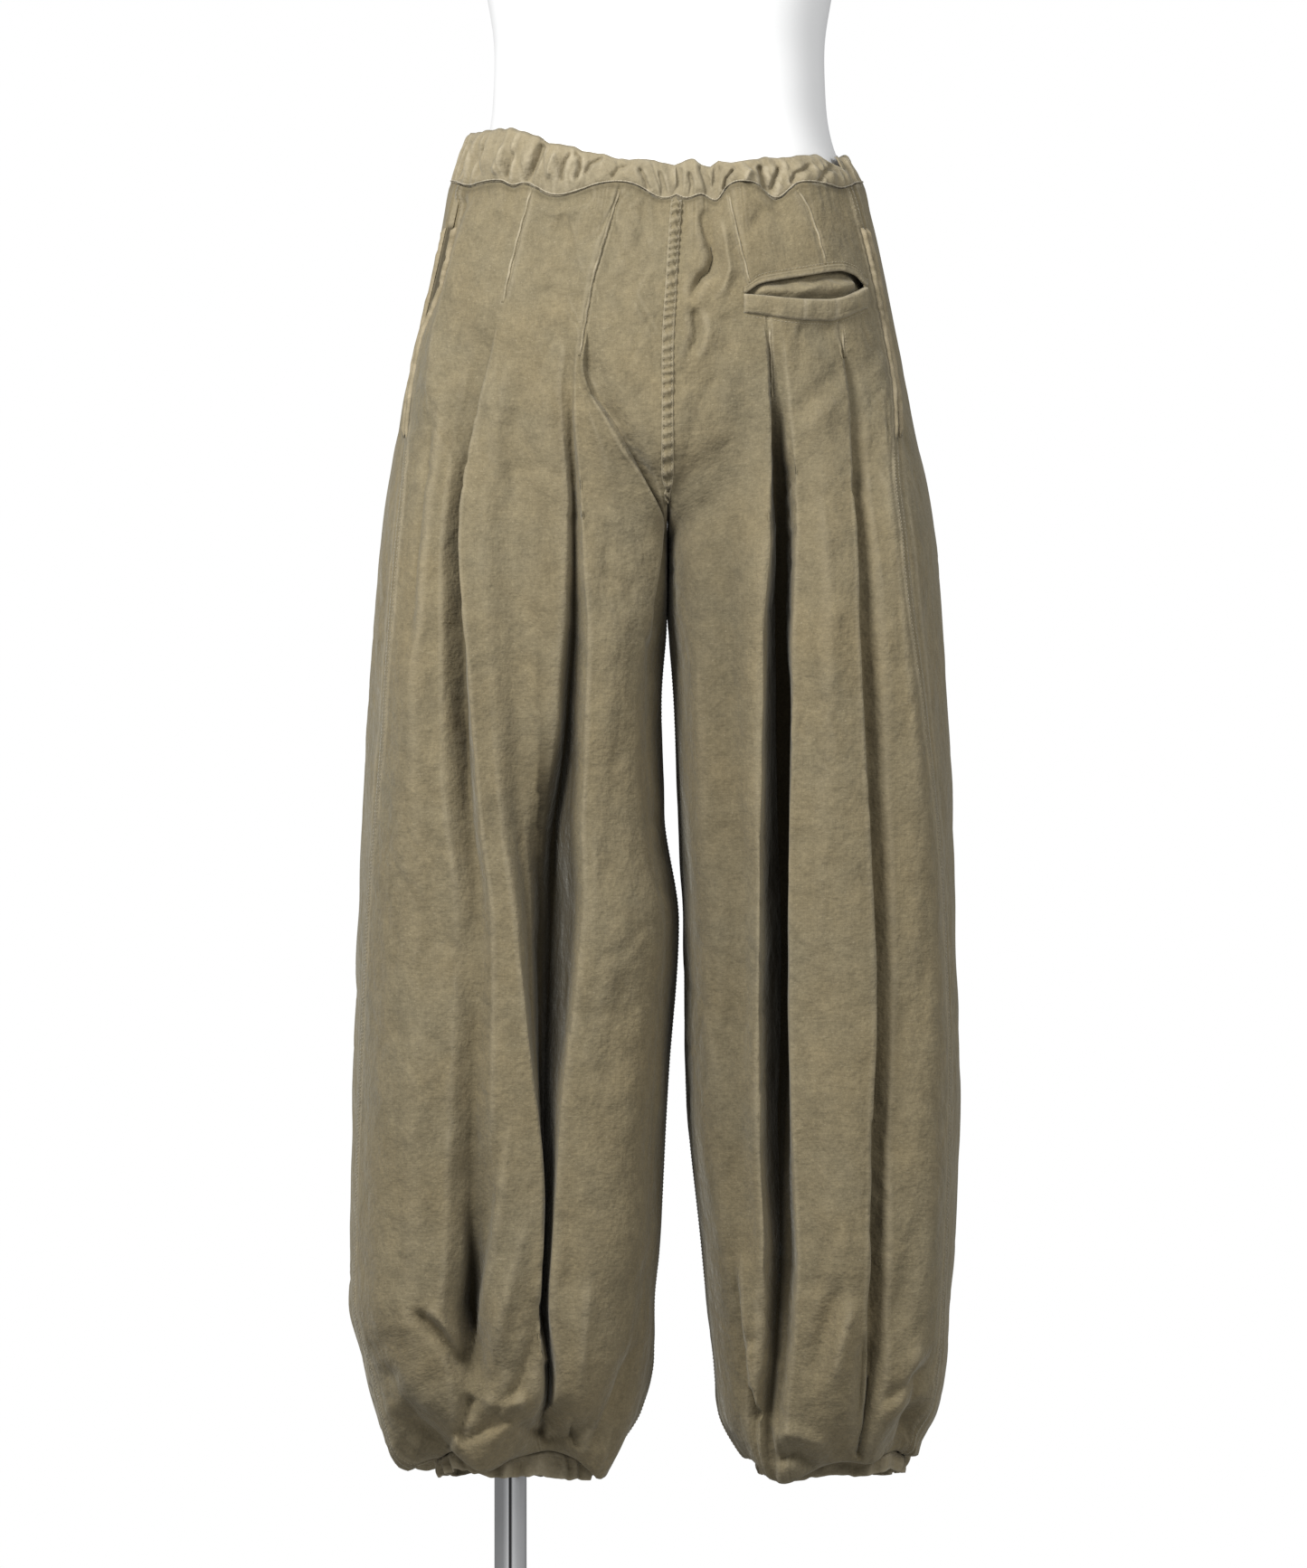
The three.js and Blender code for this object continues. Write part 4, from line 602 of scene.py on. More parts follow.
# Points moved out where they would lie nearer to the torso form than the clearance
def clear_of_form(grid, clearance):
    x, y, z = grid[..., 0] - FORM_X, grid[..., 1], grid[..., 2]
    wide = form_wide(z)
    deep = np.where(y < 0, form_back(z), form_front(z))
    turn = np.arctan2(np.abs(x) / wide, np.abs(y) / deep)
    sine, cosine = rounded_square(turn, FORM_SQUARENESS)
    reach = np.hypot(x / wide, y / deep)
    least = np.hypot(sine, cosine) + clearance / np.minimum(wide, deep)
    share = np.where((z > 956) & (reach < least), least / np.maximum(reach, 1e-6), 1.0)
    return np.stack([FORM_X + x * share, y * share, z], -1)


# The long folds open below the darts and close at the hem
def fold_share(level):
    return (1 - smoothstep(level, DART_LOW, DART_HIGH)) * smoothstep(level, HEM + 5, HEM + 75)


# Points of the cloth at a depth under its plain outline
def cloth_points(side, level, around, depth):
    nx, ny = outward_of(side, level, around)
    drop, pinch = pucker_at(side, level, around)
    x, y = outline(side, level, around)
    _, seam_drop = parting(level, around)
    z = SECTION["z"](level) - seam_drop - drop - droop_at(side, level, around)
    return np.stack([x - nx * (depth + pinch), y - ny * (depth + pinch), z], -1)


# Signed distance in millimetres from a line drawn on the photo, more than 0 on the line's right-hand
# side where it runs downwards, with the share of the way along it
def line_distance(px, py, points):
    points = np.asarray(points, float)
    steps = np.diff(points, axis=0)
    lengths = np.hypot(steps[:, 0], steps[:, 1])
    whole = lengths.sum()
    best = np.full(px.shape, 1e9)
    signed = np.zeros(px.shape)
    along = np.zeros(px.shape)
    run = 0.0
    for (x, y), (dx, dy), length in zip(points[:-1], steps, lengths):
        wx, wy = px - x, py - y
        t = np.clip((wx * dx + wy * dy) / length**2, 0, 1)
        gap = np.hypot(wx - t * dx, wy - t * dy)
        nearer = gap < best
        side = np.where(dx * wy - dy * wx > 0, -1.0, 1.0)
        best = np.where(nearer, gap, best)
        signed = np.where(nearer, side * gap, signed)
        along = np.where(nearer, (run + t * length) / whole, along)
        run += length
    return signed * PIXEL, along


# Depth that a list of creases adds, with deeper ones towards the hems. A crease without a kind is soft on
# both sides; a step has its upper layer on the line's left, and a lap on its right.
def crease_depth(px, py, creases):
    total = np.zeros(px.shape)
    for depth, width, fade_in, fade_out, points, *kind in creases:
        low, high = np.min(points, axis=0), np.max(points, axis=0)
        reach = 3 * width / PIXEL
        near = (px > low[0] - reach) & (px < high[0] + reach) & (py > low[1] - reach) & (py < high[1] + reach)
        if not near.any():
            continue
        s, t = line_distance(px[near], py[near], points)
        if kind:
            s = -s if kind == ["lap"] else s
            profile = smoothstep(s, -1.4, 1.6) * (1 - smoothstep(s, 2.5, width * 2)) - 0.22 * bell(s, -3.5, 3)
        else:
            profile = 0.55 * bell(s, 0, width) + 0.45 * np.exp(-np.abs(s) / (0.62 * width))
        if fade_in:
            profile = profile * smoothstep(t, 0, fade_in)
        if fade_out:
            profile = profile * (1 - smoothstep(t, 1 - fade_out, 1))
        gain = 1.75 + 1.2 * smoothstep(py[near], 1370, 1450)
        total[near] += gain * depth * profile
    return total


# Smooth noise between -1 and 1 on a lattice of seeded random numbers
def lattice_noise(u, v, scale_u, scale_v, seed):
    table = np.random.default_rng(seed).uniform(-1, 1, LATTICE)
    a, b = u / scale_u, v / scale_v
    i, j = np.floor(a).astype(int), np.floor(b).astype(int)
    fa, fb = a - i, b - j
    fa, fb = fa * fa * (3 - 2 * fa), fb * fb * (3 - 2 * fb)
    at = lambda di, dj: table[(i + di) % LATTICE[0], (j + dj) % LATTICE[1]]
    low = at(0, 0) * (1 - fa) + at(1, 0) * fa
    high = at(0, 1) * (1 - fa) + at(1, 1) * fa
    return low * (1 - fb) + high * fb


# Small crumples of washed cotton: soft swells, and thin creases along the valleys of a second noise
def crumple(u, v, seed):
    swell = lattice_noise(u, v, 34, 60, seed) + 0.5 * lattice_noise(u + 0.35 * v, v, 19, 34, seed + 1)
    slant = lattice_noise(u + 0.55 * v, v - 0.2 * u, 30, 46, seed + 2)
    counter = lattice_noise(u - 0.5 * v, v + 0.25 * u, 26, 40, seed + 3)
    thin = bell(slant, 0, 0.13) + bell(counter, 0, 0.12)
    patch = smoothstep(lattice_noise(u, v, 80, 110, seed + 4), -0.1, 0.6)
    return 0.75 * swell - 0.7 * thin * patch


# The way out of the cloth at each point of a grid
def grid_normals(grid, side):
    return unit(np.cross(np.gradient(grid, axis=1), np.gradient(grid, axis=0)) * -side)


# Row levels from stretches of (high, low, step)
def spaced(*stretches):
    rows = [
        np.linspace(high, low, max(1, round((high - low) / step)), endpoint=False)
        for high, low, step in stretches
    ]
    return np.append(np.concatenate(rows), stretches[-1][1])


# Place and depth of each crease as curves over the level, with its crispness
def crease_curves(side, creases, levels, is_back):
    curves = []
    for _, place, depth, crisp in creases:
        place_curve = smooth_curve(levels, place)
        if is_back:
            place_curve = lambda level, c=place_curve: around_at(side, level, c(level))
        curves.append((place_curve, smooth_curve(levels, depth), crisp))
    return curves


# Places round the half and depths of a panel's grid, with columns that follow its creases
def creased_grid(side, curves, rows, pitch):
    places = np.stack([curve[0](rows) for curve in curves], 1)
    depths = np.stack([curve[1](rows) for curve in curves], 1) * fold_share(rows)[:, None]
    points = cloth_points(side, rows[:, None] + 0 * places, places, depths)
    reach = np.percentile(np.linalg.norm(np.diff(points, axis=1), axis=-1), 75, axis=0)
    around, depth = [], []
    for i, (width, one, two) in enumerate(zip(reach, curves, curves[1:])):
        count = max(2, round(width / pitch))
        t = np.arange(count) / count
        change = depths[:, i + 1] - depths[:, i]
        around.append(places[:, i : i + 1] + (places[:, i + 1 : i + 2] - places[:, i : i + 1]) * t)
        depth.append(hermite(
            t, depths[:, i : i + 1], depths[:, i + 1 : i + 2],
            (change * one[2])[:, None], (change * two[2])[:, None],
        ))
    return np.concatenate([*around, places[:, -1:]], 1), np.concatenate([*depth, depths[:, -1:]], 1)


# A panel's grid: rows from the waist down, columns from the centre seam (back) or the side seam (front)
class Panel:
    def __init__(self, side, curves, rows, pitch, creases, seed, is_back):
        self.side, self.rows, self.is_back = side, rows, is_back
        self.around, depth = creased_grid(side, curves, rows, pitch)
        level = rows[:, None] + 0 * self.around
        above_hem, below_waist = level - HEM, WAIST_LEVEL - level
        plain = cloth_points(side, level, self.around, depth)
        self.px, self.py = px, py = to_pixels(plain[..., 0], plain[..., 2])
        edge = smoothstep(level, HEM + 2, HEM + 24) * (1 - smoothstep(level, WAIST_LEVEL - 14, WAIST_LEVEL))
        depth = depth + crease_depth(px, py, creases) * smoothstep(level, HEM, HEM + 10)
        # Gathers that run out from the hem casing, and short ones under the waist casing
        for scale, gain, reach, seed_add in ((0.030, 3.4, 46, 5), (0.013, 1.9, 26, 6)):
            wave = lattice_noise(self.around + 0.00006 * above_hem, level, scale, 70, seed + seed_add)
            ridged = np.exp(-np.abs(wave) / 0.16) - 0.35
            depth = depth + gain * ridged * np.exp(-above_hem / reach) * smoothstep(level, HEM, HEM + 8)
            depth = depth + 0.45 * gain * ridged * np.exp(-below_waist / 16) * smoothstep(below_waist, 0, 5)
        grid = cloth_points(side, level, self.around, depth)
        # Lengths across and along the cloth, in millimetres from the first column and the waist
        self.u = run_along(grid, 1)
        self.v = run_along(grid, 0).mean(1, keepdims=True) + 0 * self.u
        from_end = self.u[:, -1:] - self.u
        self.from_side = side_seam = from_end if is_back else self.u
        rough = crumple(self.u, self.v, seed) * (1 - bell(np.minimum(self.u, from_end), 0, 11)) * edge
        # The felled side seam: a raised double layer with puckers between its stitch rows
        rise = 0.8 * (1 - smoothstep(side_seam, 8.6, 9.6))
        pucker = 0.28 * np.sin(self.v * 0.72 + 1.7 * np.sin(self.v * 0.11)) * bell(side_seam, 9, 5)
        lift = rough * 1.5 + (rise + pucker * 0.9) * edge
        self.grid = clear_of_form(grid + grid_normals(grid, side) * lift[..., None], CLEARANCE)
        # Painted shade: the cloth is painted darker in the troughs, of which the darkest is dark from its edge on,
        # with a painted soft shadow on the inner strip of the right leg, painted shade in the opening of the side
        # pocket with painted shadow lines beside its bindings, and a painted shadow line under the waist casing
        first, last = PAINTED_SHADE_TROUGH[side]
        trough = (px > first) & (px < last) & is_back
        self.deep = smoothstep(depth, np.where(trough, 3.0, 10.0), np.where(trough, 21.0, 44.0))
        if is_back and side == RIGHT:
            # Painted soft shadow on the inner strip of the right leg
            strip = smoothstep(px, 742, 752) * (1 - smoothstep(px, 806, 838)) * smoothstep(py, 500, 640)
            self.deep = np.maximum(self.deep, 0.30 * strip)
        # Painted shade in the side pocket's opening, and painted shadow lines beside its bindings
        pocket_painted_shade = np.exp(-((side_seam / 2.2) ** 4)) + 0.75 * bell(side_seam, 7.6 if is_back else 9.4, 1.0)
        pocket_painted_shade = pocket_painted_shade * ((level > SIDE_POCKET_LOW) & (level < SIDE_POCKET_HIGH))
        self.deep = np.maximum(self.deep, np.minimum(0.95 * pocket_painted_shade, 1))
        # Painted shadow line under the waist casing
        self.deep = np.maximum(self.deep, 0.42 * bell(below_waist, 2, 2.4))
        # Ridges are worn lighter
        self.normal = grid_normals(self.grid, side)
        step = np.gradient(self.grid, axis=1)
        size = np.maximum(np.linalg.norm(step, axis=-1), 0.3)
        bend = (np.gradient(self.normal, axis=1) * step).sum(-1) / size**2
        self.wear = np.clip(bend * 7 - 0.12, 0, 1) * 0.28


BACK_ROWS = spaced((1138, 1086, 2.6), (1086, 1028, 1.7), (1028, 420, 4.6), (420, 235, 3.4), (235, 135, 2.2))
FRONT_ROWS = spaced((1138, 1086, 4), (1086, 420, 7), (420, 235, 5), (235, 135, 3))

back_curves = {
    side: crease_curves(side, creases, BACK_LEVELS, True)
    for side, creases in ((LEFT, BACK_LEFT), (RIGHT, BACK_RIGHT))
}
front_curves = {
    side: [back_curves[side][-1]] + crease_curves(side, creases, FRONT_LEVELS, False)
    for side, creases in ((LEFT, FRONT_LEFT), (RIGHT, FRONT_RIGHT))
}
panels = {
    "back_left": Panel(LEFT, back_curves[LEFT], BACK_ROWS, 3.0, BACK_CREASES, 11, True),
    "back_right": Panel(RIGHT, back_curves[RIGHT], BACK_ROWS, 2.8, BACK_CREASES, 21, True),
    "front_left": Panel(LEFT, front_curves[LEFT], FRONT_ROWS, 4.2, FRONT_CREASES, 31, False),
    "front_right": Panel(RIGHT, front_curves[RIGHT], FRONT_ROWS, 4.2, FRONT_CREASES, 41, False),
}


# Meshes, given in millimetres of the tables
def make_mesh(name, points, faces, uv=None, attributes=None):
    mesh = bpy.data.meshes.new(name)
    points = np.asarray(points, float) + OFFSET
    mesh.from_pydata((points / 1000).tolist(), [], [tuple(int(i) for i in face) for face in faces])
    if uv is not None:
        index = np.empty(len(mesh.loops), dtype=np.int32)
        mesh.loops.foreach_get("vertex_index", index)
        mesh.uv_layers.new(name="cloth").data.foreach_set("uv", (uv / 1000)[index].ravel())
    for key, values in (attributes or {}).items():
        mesh.attributes.new(key, "FLOAT", "POINT").data.foreach_set("value", values)
    mesh.polygons.foreach_set("use_smooth", [True] * len(mesh.polygons))
    mesh.update()
    piece = bpy.data.objects.new(name, mesh)
    scene.collection.objects.link(piece)
    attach(piece, "root")
    return piece


# A closed shell between two equal grids. keep says which cells are there; a ring closes on itself. deep carries the
# painted shade into the mesh's deep attribute.
def shell(name, outer, inner, uv, wear, keep=None, ring=False, deep=None):
    rows, columns = outer.shape[:2]
    count = rows * columns
    r, c = np.meshgrid(np.arange(rows - 1), np.arange(columns if ring else columns - 1), indexing="ij")
    a, b = r * columns + c, (r + 1) * columns + c
    d, e = r * columns + (c + 1) % columns, (r + 1) * columns + (c + 1) % columns
    keep = np.ones(r.shape, bool) if keep is None else keep
    there = np.pad(keep, 1)
    if ring:
        there[1:-1, 0], there[1:-1, -1] = keep[:, -1], keep[:, 0]
    above, below = keep & ~there[:-2, 1:-1], keep & ~there[2:, 1:-1]
    before, after = keep & ~there[1:-1, :-2], keep & ~there[1:-1, 2:]
    quad = lambda corners, mask: np.stack([corner[mask] for corner in corners], -1)
    faces = np.concatenate([
        quad((a, b, e, d), keep),
        quad((count + a, count + d, count + e, count + b), keep),
        quad((a, d, count + d, count + a), above),
        quad((e, b, count + b, count + e), below),
        quad((b, a, count + a, count + b), before),
        quad((d, e, count + e, count + d), after),
    ])
    points = np.concatenate([outer.reshape(-1, 3), inner.reshape(-1, 3)])
    one, two, three, four = (points[faces[:, i]] for i in range(4))
    if (np.cross(one, two) * three).sum() + (np.cross(one, three) * four).sum() < 0:
        faces = faces[:, ::-1]
    used = np.zeros(len(points), bool)
    used[faces.ravel()] = True
    double = lambda values: np.concatenate([values, values])[used]
    return make_mesh(
        name, points[used], (np.cumsum(used) - 1)[faces],
        uv=double(np.stack([uv[0].ravel(), uv[1].ravel()], -1)),
        attributes={
            "wear": double(wear.ravel()),
            "deep": double(np.zeros(count) if deep is None else deep.ravel()),
        },
    )


# Faces of a closed tube of rings of points, with a cap on each end
def tube_faces(rings, around, first=0):
    faces = []
    for low in range(first, first + (rings - 1) * around, around):
        for k in range(around):
            after = (k + 1) % around
            faces.append((low + k, low + after, low + around + after, low + around + k))
    last = first + (rings - 1) * around
    return faces + [tuple(range(first + around - 1, first - 1, -1)), tuple(range(last, last + around))]


# A grid's faces for finding points on it
def tree_of(grid):
    rows, columns = grid.shape[:2]
    index = np.arange(rows * columns).reshape(rows, columns)
    quads = np.stack([index[:-1, :-1], index[1:, :-1], index[1:, 1:], index[:-1, 1:]], -1).reshape(-1, 4)
    return BVHTree.FromPolygons(grid.reshape(-1, 3).tolist(), quads.tolist())


trees = {name: tree_of(panel.grid) for name, panel in panels.items() if panel.is_back}


# The point of the back's outer face at a place x, z, with the outward direction there
def on_back(x, z, *names):
    best = None
    for name in names or trees:
        hit, normal, _, _ = trees[name].ray_cast(Vector((x, -400, z)), Vector((0, 1, 0)))
        if hit is not None and (best is None or hit.y < best[0].y):
            best = (hit, normal if normal.y < 0 else -normal)
    return best and (np.array(best[0]), np.array(best[1]))


# Points at distances along each row of a panel from one of its ends, with the outward directions
def along_rows(panel, distances, at_start):
    grid, normal = panel.grid, panel.normal
    if not at_start:
        grid, normal = grid[:, ::-1], normal[:, ::-1]
    run = run_along(grid, 1)
    points, outward = np.empty((2, len(grid), len(distances), 3))
    for r in range(len(grid)):
        for k in range(3):
            points[r, :, k] = np.interp(distances, run[r], grid[r, :, k])
            outward[r, :, k] = np.interp(distances, run[r], normal[r, :, k])
    return points, unit(outward)


# Materials
class Nodes:
    def __init__(self, tree):
        self.tree = tree

    def set(self, socket, value):
        if isinstance(value, bpy.types.NodeSocket):
            self.tree.links.new(value, socket)
        else:
            socket.default_value = value

    def put(self, kind, inputs=None, **settings):
        node = self.tree.nodes.new("ShaderNode" + kind)
        for key, value in settings.items():
            setattr(node, key, value)
        for key, value in (inputs or {}).items():
            self.set(node.inputs[key], value)
        return node

    def scaled(self, vector, scale):
        return self.put("Mapping", {"Vector": vector, "Scale": scale}).outputs[0]

    def between(self, value, low, high, to_low=0.0, to_high=1.0):
        return self.put("MapRange", {
            "Value": value, "From Min": low, "From Max": high, "To Min": to_low, "To Max": to_high,
        }).outputs[0]

    # Noise by its place, scale, detail and roughness, brought between limits where they are given
    def noise(self, vector, scale, detail=2.0, rough=0.5, *limits):
        value = self.put("TexNoise", {
            "Vector": vector, "Scale": scale, "Detail": detail, "Roughness": rough,
        }).outputs["Fac"]
        return self.between(value, *limits) if limits else value

    def maths(self, operation, a, *others):
        for b in others:
            a = self.put("Math", {0: a, 1: b}, operation=operation).outputs[0]
        return a

    def times(self, *values):
        return self.maths("MULTIPLY", *values)

    def mix(self, factor, a, b, blend="MIX"):
        return self.put("Mix", {0: factor, 6: a, 7: b}, data_type="RGBA", blend_type=blend).outputs[2]

    # The surface, with a bump of a strength and a height where there is one
    def surface(self, colour, bump=None, **inputs):
        named = {key.replace("_", " "): value for key, value in inputs.items()}
        if bump:
            strength, height = bump
            named["Normal"] = self.put("Bump", {"Strength": strength, "Distance": 1.0, "Height": height}).outputs[0]
        shader = self.put("BsdfPrincipled", {"Base Color": colour, **named})
        self.put("OutputMaterial", {"Surface": shader.outputs[0]})


def new_material(name):
    material = bpy.data.materials.new(name)
    material.use_nodes = True
    material.node_tree.nodes.clear()
    nodes = Nodes(material.node_tree)
    return material, nodes, nodes.put("TexCoord").outputs


def grey(value):
    return (value, value, value, 1.0)


# Washed cotton with a visible weave: olive with cool and warm clouds, lighter where it is worn, and darker by
# painted shade where the deep attribute is set
def cloth_material(name, olive, cool, warm, worn):
    material, nodes, coordinates = new_material(name)
    place = coordinates["Object"]
    uv = nodes.put("UVMap", uv_map="cloth").outputs[0]
    on_uv = lambda scale, *more: nodes.noise(nodes.scaled(uv, (*scale, 1)), 1.0, *more)
    attribute = lambda key: nodes.put("Attribute", attribute_name=key).outputs["Fac"]
    # Cloudy fading
    cloud = nodes.noise(place, 6.0, 3.0, 0.5, 0.36, 0.64, 0.1, 0.7)
    patch = nodes.noise(place, 21.0, 4.0, 0.6, 0.38, 0.68)
    colour = nodes.mix(cloud, olive, cool)
    colour = nodes.mix(nodes.times(patch, 0.3), colour, warm)
    # Mottling and the threads of the weave
    tone = nodes.times(
        nodes.noise(nodes.scaled(place, (1.0, 1.0, 0.6)), 80.0, 6.0, 0.72, 0.25, 0.75, 0.80, 1.20),
        on_uv((900, 1500), 2.0, 0.5, 0.2, 0.8, 0.86, 1.14),
        on_uv((70, 1300), 2.0, 0.5, 0.3, 0.75, 0.96, 1.05),
        on_uv((1300, 60), 2.0, 0.5, 0.3, 0.75, 0.95, 1.06),
        nodes.noise(place, 330.0, 6.0, 0.75, 0.3, 0.7, 0.84, 1.16),
    )
    tone = nodes.put("CombineColor", {0: tone, 1: tone, 2: tone}).outputs[0]
    colour = nodes.mix(1.0, colour, tone, "MULTIPLY")
    slub = on_uv((150, 800), 1.0, 0.5, 0.66, 0.76, 0.0, 0.22)
    fleck = on_uv((520, 620), 0.0, 0.5, 0.75, 0.83, 0.0, 0.3)
    colour = nodes.mix(nodes.maths("MAXIMUM", slub, fleck), colour, worn)
    # Worn places are lighter, and painted shade darkens the places that the deep attribute marks
    faded = nodes.times(attribute("wear"), nodes.noise(place, 160.0, 4.0, 0.7, 0.3, 0.7, 0.45, 1.0))
    colour = nodes.mix(nodes.put("Clamp", {"Value": faded}).outputs[0], colour, worn)
    painted_shade_colour = nodes.mix(1.0, colour, (0.28, 0.27, 0.25, 1), "MULTIPLY")
    colour = nodes.mix(attribute("deep"), colour, painted_shade_colour)
    # Relief of the weave, of its slubs and of soft creases
    apart = nodes.put("SeparateXYZ", {0: uv})
    weft_line = nodes.put("Math", {0: nodes.times(apart.outputs[1], 2 * math.pi / WEFT_PITCH)}, operation="SINE")
    warp_line = nodes.put("Math", {0: nodes.times(apart.outputs[0], 2 * math.pi / WARP_PITCH)}, operation="SINE")
    weave = nodes.maths("ADD", weft_line.outputs[0], nodes.times(warp_line.outputs[0], 0.5))
    slanted = nodes.scaled(place, (1.0, 1.0, 0.45))
    height = nodes.maths(
        "ADD",
        nodes.times(weave, 0.000016),
        nodes.times(on_uv((260, 420), 4.0, 0.6), 0.00055),
        nodes.times(nodes.noise(place, 46.0, 3.0, 0.6), 0.0042),
        nodes.times(nodes.noise(slanted, 17.0, 2.0, 0.5), 0.0085),
        nodes.times(nodes.noise(slanted, 120.0, 3.0, 0.6), 0.0009),
    )
    nodes.surface(
        colour, (0.9, height), Roughness=0.93, Specular_IOR_Level=0.18,
        Sheen_Weight=0.22, Sheen_Roughness=0.45, Sheen_Tint=(0.86, 0.83, 0.72, 1),
    )
    return material


def thread_material():
    material, nodes, coordinates = new_material("thread")
    place = coordinates["Object"]
    shade = nodes.noise(place, 900.0, 2.0, 0.5, 0.3, 0.7)
    colour = nodes.mix(shade, (0.24, 0.205, 0.135, 1), (0.40, 0.35, 0.25, 1))
    twist = nodes.times(nodes.noise(place, 3000.0, 1.0), 0.0001)
    nodes.surface(colour, (0.6, twist), Roughness=0.8, Sheen_Weight=0.2)
    return material


def form_material():
    material, nodes, coordinates = new_material("form_white")
    place = coordinates["Object"]
    cloud = nodes.noise(place, 3.0, 2.0, 0.5, 0.3, 0.7)
    scuff = nodes.noise(nodes.scaled(place, (30, 30, 90)), 1.0, 5.0, 0.7, 0.62, 0.8, 0.0, 0.12)
    colour = nodes.mix(cloud, (0.80, 0.80, 0.795, 1), (0.84, 0.84, 0.835, 1))
    colour = nodes.mix(scuff, colour, (0.70, 0.70, 0.69, 1))
    rough = nodes.noise(place, 40.0, 4.0, 0.5, 0.3, 0.7, 0.5, 0.62)
    peel = nodes.times(nodes.noise(place, 500.0, 3.0), 0.00012)
    nodes.surface(colour, (0.4, peel), Roughness=rough, Specular_IOR_Level=0.35)
    return material


# Chrome with a painted reflection: the soft dark and light streaks of a studio are painted round the tube by its
# own normal
def chrome_material():
    material, nodes, coordinates = new_material("stand_chrome")
    normal = nodes.put("SeparateXYZ", {0: coordinates["Normal"]}).outputs
    ramp = nodes.put("ValToRGB", {0: nodes.between(normal[0], -1.0, 1.0)})
    painted_reflection_stops = (
        (0.0, 0.25), (0.06, 0.4), (0.27, 0.45), (0.36, 0.7), (0.43, 1.0), (0.455, 0.06),
        (0.52, 0.06), (0.57, 0.95), (0.7, 0.7), (0.92, 0.6), (1.0, 0.25),
    )
    elements = ramp.color_ramp.elements
    for element, (position, value) in zip(elements[:], (painted_reflection_stops[0], painted_reflection_stops[-1])):
        element.position, element.color = position, grey(value)
    for position, value in painted_reflection_stops[1:-1]:
        elements.new(position).color = grey(value)
    upright = nodes.put("Math", {0: normal[2]}, operation="ABSOLUTE").outputs[0]
    colour = nodes.mix(nodes.between(upright, 0.4, 0.8), ramp.outputs[0], grey(0.62))
    smudge = nodes.noise(coordinates["Object"], 60.0, 5.0, 0.65, 0.35, 0.75, 0.12, 0.24)
    nodes.surface(colour, Metallic=0.8, Roughness=smudge)
    return material


canvas = cloth_material(
    "canvas",
    olive=(0.190, 0.155, 0.090, 1), cool=(0.170, 0.146, 0.093, 1),
    warm=(0.218, 0.168, 0.088, 1), worn=(0.360, 0.310, 0.215, 1),
)
binding = cloth_material(
    "worn_binding",
    olive=(0.215, 0.176, 0.106, 1), cool=(0.190, 0.162, 0.102, 1),
    warm=(0.250, 0.194, 0.110, 1), worn=(0.400, 0.335, 0.225, 1),
)
thread = thread_material()
form_white = form_material()
chrome = chrome_material()


def finish_piece(piece, material, slot, *nodes):
    piece.data.materials.append(material)
    if nodes:
        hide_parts(*nodes)
    return piece


# How light the worn lines make a panel
def worn_near(panel, lines):
    wear = np.zeros(panel.px.shape)
    for width, points in lines:
        s, t = line_distance(panel.px, panel.py, points)
        ends = smoothstep(t, 0, 0.02) * (1 - smoothstep(t, 0.98, 1))
        wear = np.maximum(wear, 0.85 * bell(s, 0, width) * ends)
    return wear


# The front's first columns repeated, for the strip under the back panel
def with_strip(values):
    return np.concatenate([values[:, :1], values[:, :1], values], 1)


# Panels. Each front panel runs on a few millimetres under the back panel at the side seam.
for name, panel in panels.items():
    wear = panel.wear
    if panel.is_back:
        wear = np.maximum(wear, 0.45 * worn_near(panel, WORN_LINES))
    wear = np.maximum(wear, 0.6 * bell(panel.from_side, 9, 1.6) + 0.5 * bell(panel.from_side, 0, 1.4))
    grid, normal, u, v, deep = panel.grid, panel.normal, panel.u, panel.v, panel.deep
    keep = None
    if name == "back_right":
        centre = (grid[:-1, :-1] + grid[1:, 1:]) / 2
        x, y, z = np.moveaxis(centre, -1, 0)
        keep = ~((x > MOUTH_START) & (x < MOUTH_END) & (z > MOUTH_LOW(x)) & (z < MOUTH_HIGH(x)) & (y < 0))
    if not panel.is_back:
        start = panel.around[:, :1]
        level = panel.rows[:, None]
        strip = [cloth_points(panel.side, level, start - lap, 1.9 + 0 * start) for lap in (0.010, 0.005)]
        grid = np.concatenate([*strip, grid], 1)
        grid[:, 2:5] -= normal[:, :3] * np.array([1.2, 0.8, 0.3])[None, :, None]
        normal, wear, deep, u, v = (with_strip(values) for values in (normal, wear, deep, u, v))
        u[:, :2] -= (5, 2.5)
    piece = shell(name + "_cloth", grid, grid - normal * SHELL_WALL, (u, v), wear, keep, deep=deep)
    panel.piece = finish_piece(piece, canvas, "canvas", name)

# Felled seam down the centre back: distances from the seam and heights there, on either side
DISTANCES = 0.86 * np.array([0.3, 1.3, 2.2, 2.9, 3.5, 4.1, 4.7, 5.1, 5.4])
PROFILE = np.array([1.75, 1.75, 1.65, 1.45, 1.15, 1.4, 1.45, 1.05, 0.2])
STRAP_LOW, STRAP_PITCH = 912, 1.5
strap_rows = (BACK_ROWS >= STRAP_LOW) & (BACK_ROWS <= WAIST_LEVEL - 0.5)
left_half, right_half = (along_rows(panels["back_" + name], DISTANCES, True) for name, _ in SIDES)
strap_points, strap_out = (
    np.concatenate([left[strap_rows][:, ::-1], right[strap_rows]], 1) for left, right in zip(left_half, right_half)
)
strap_out = unit(smooth_rows(strap_out.swapaxes(0, 1), 3).swapaxes(0, 1))
coarse_v = panels["back_left"].v[strap_rows][:, 0]
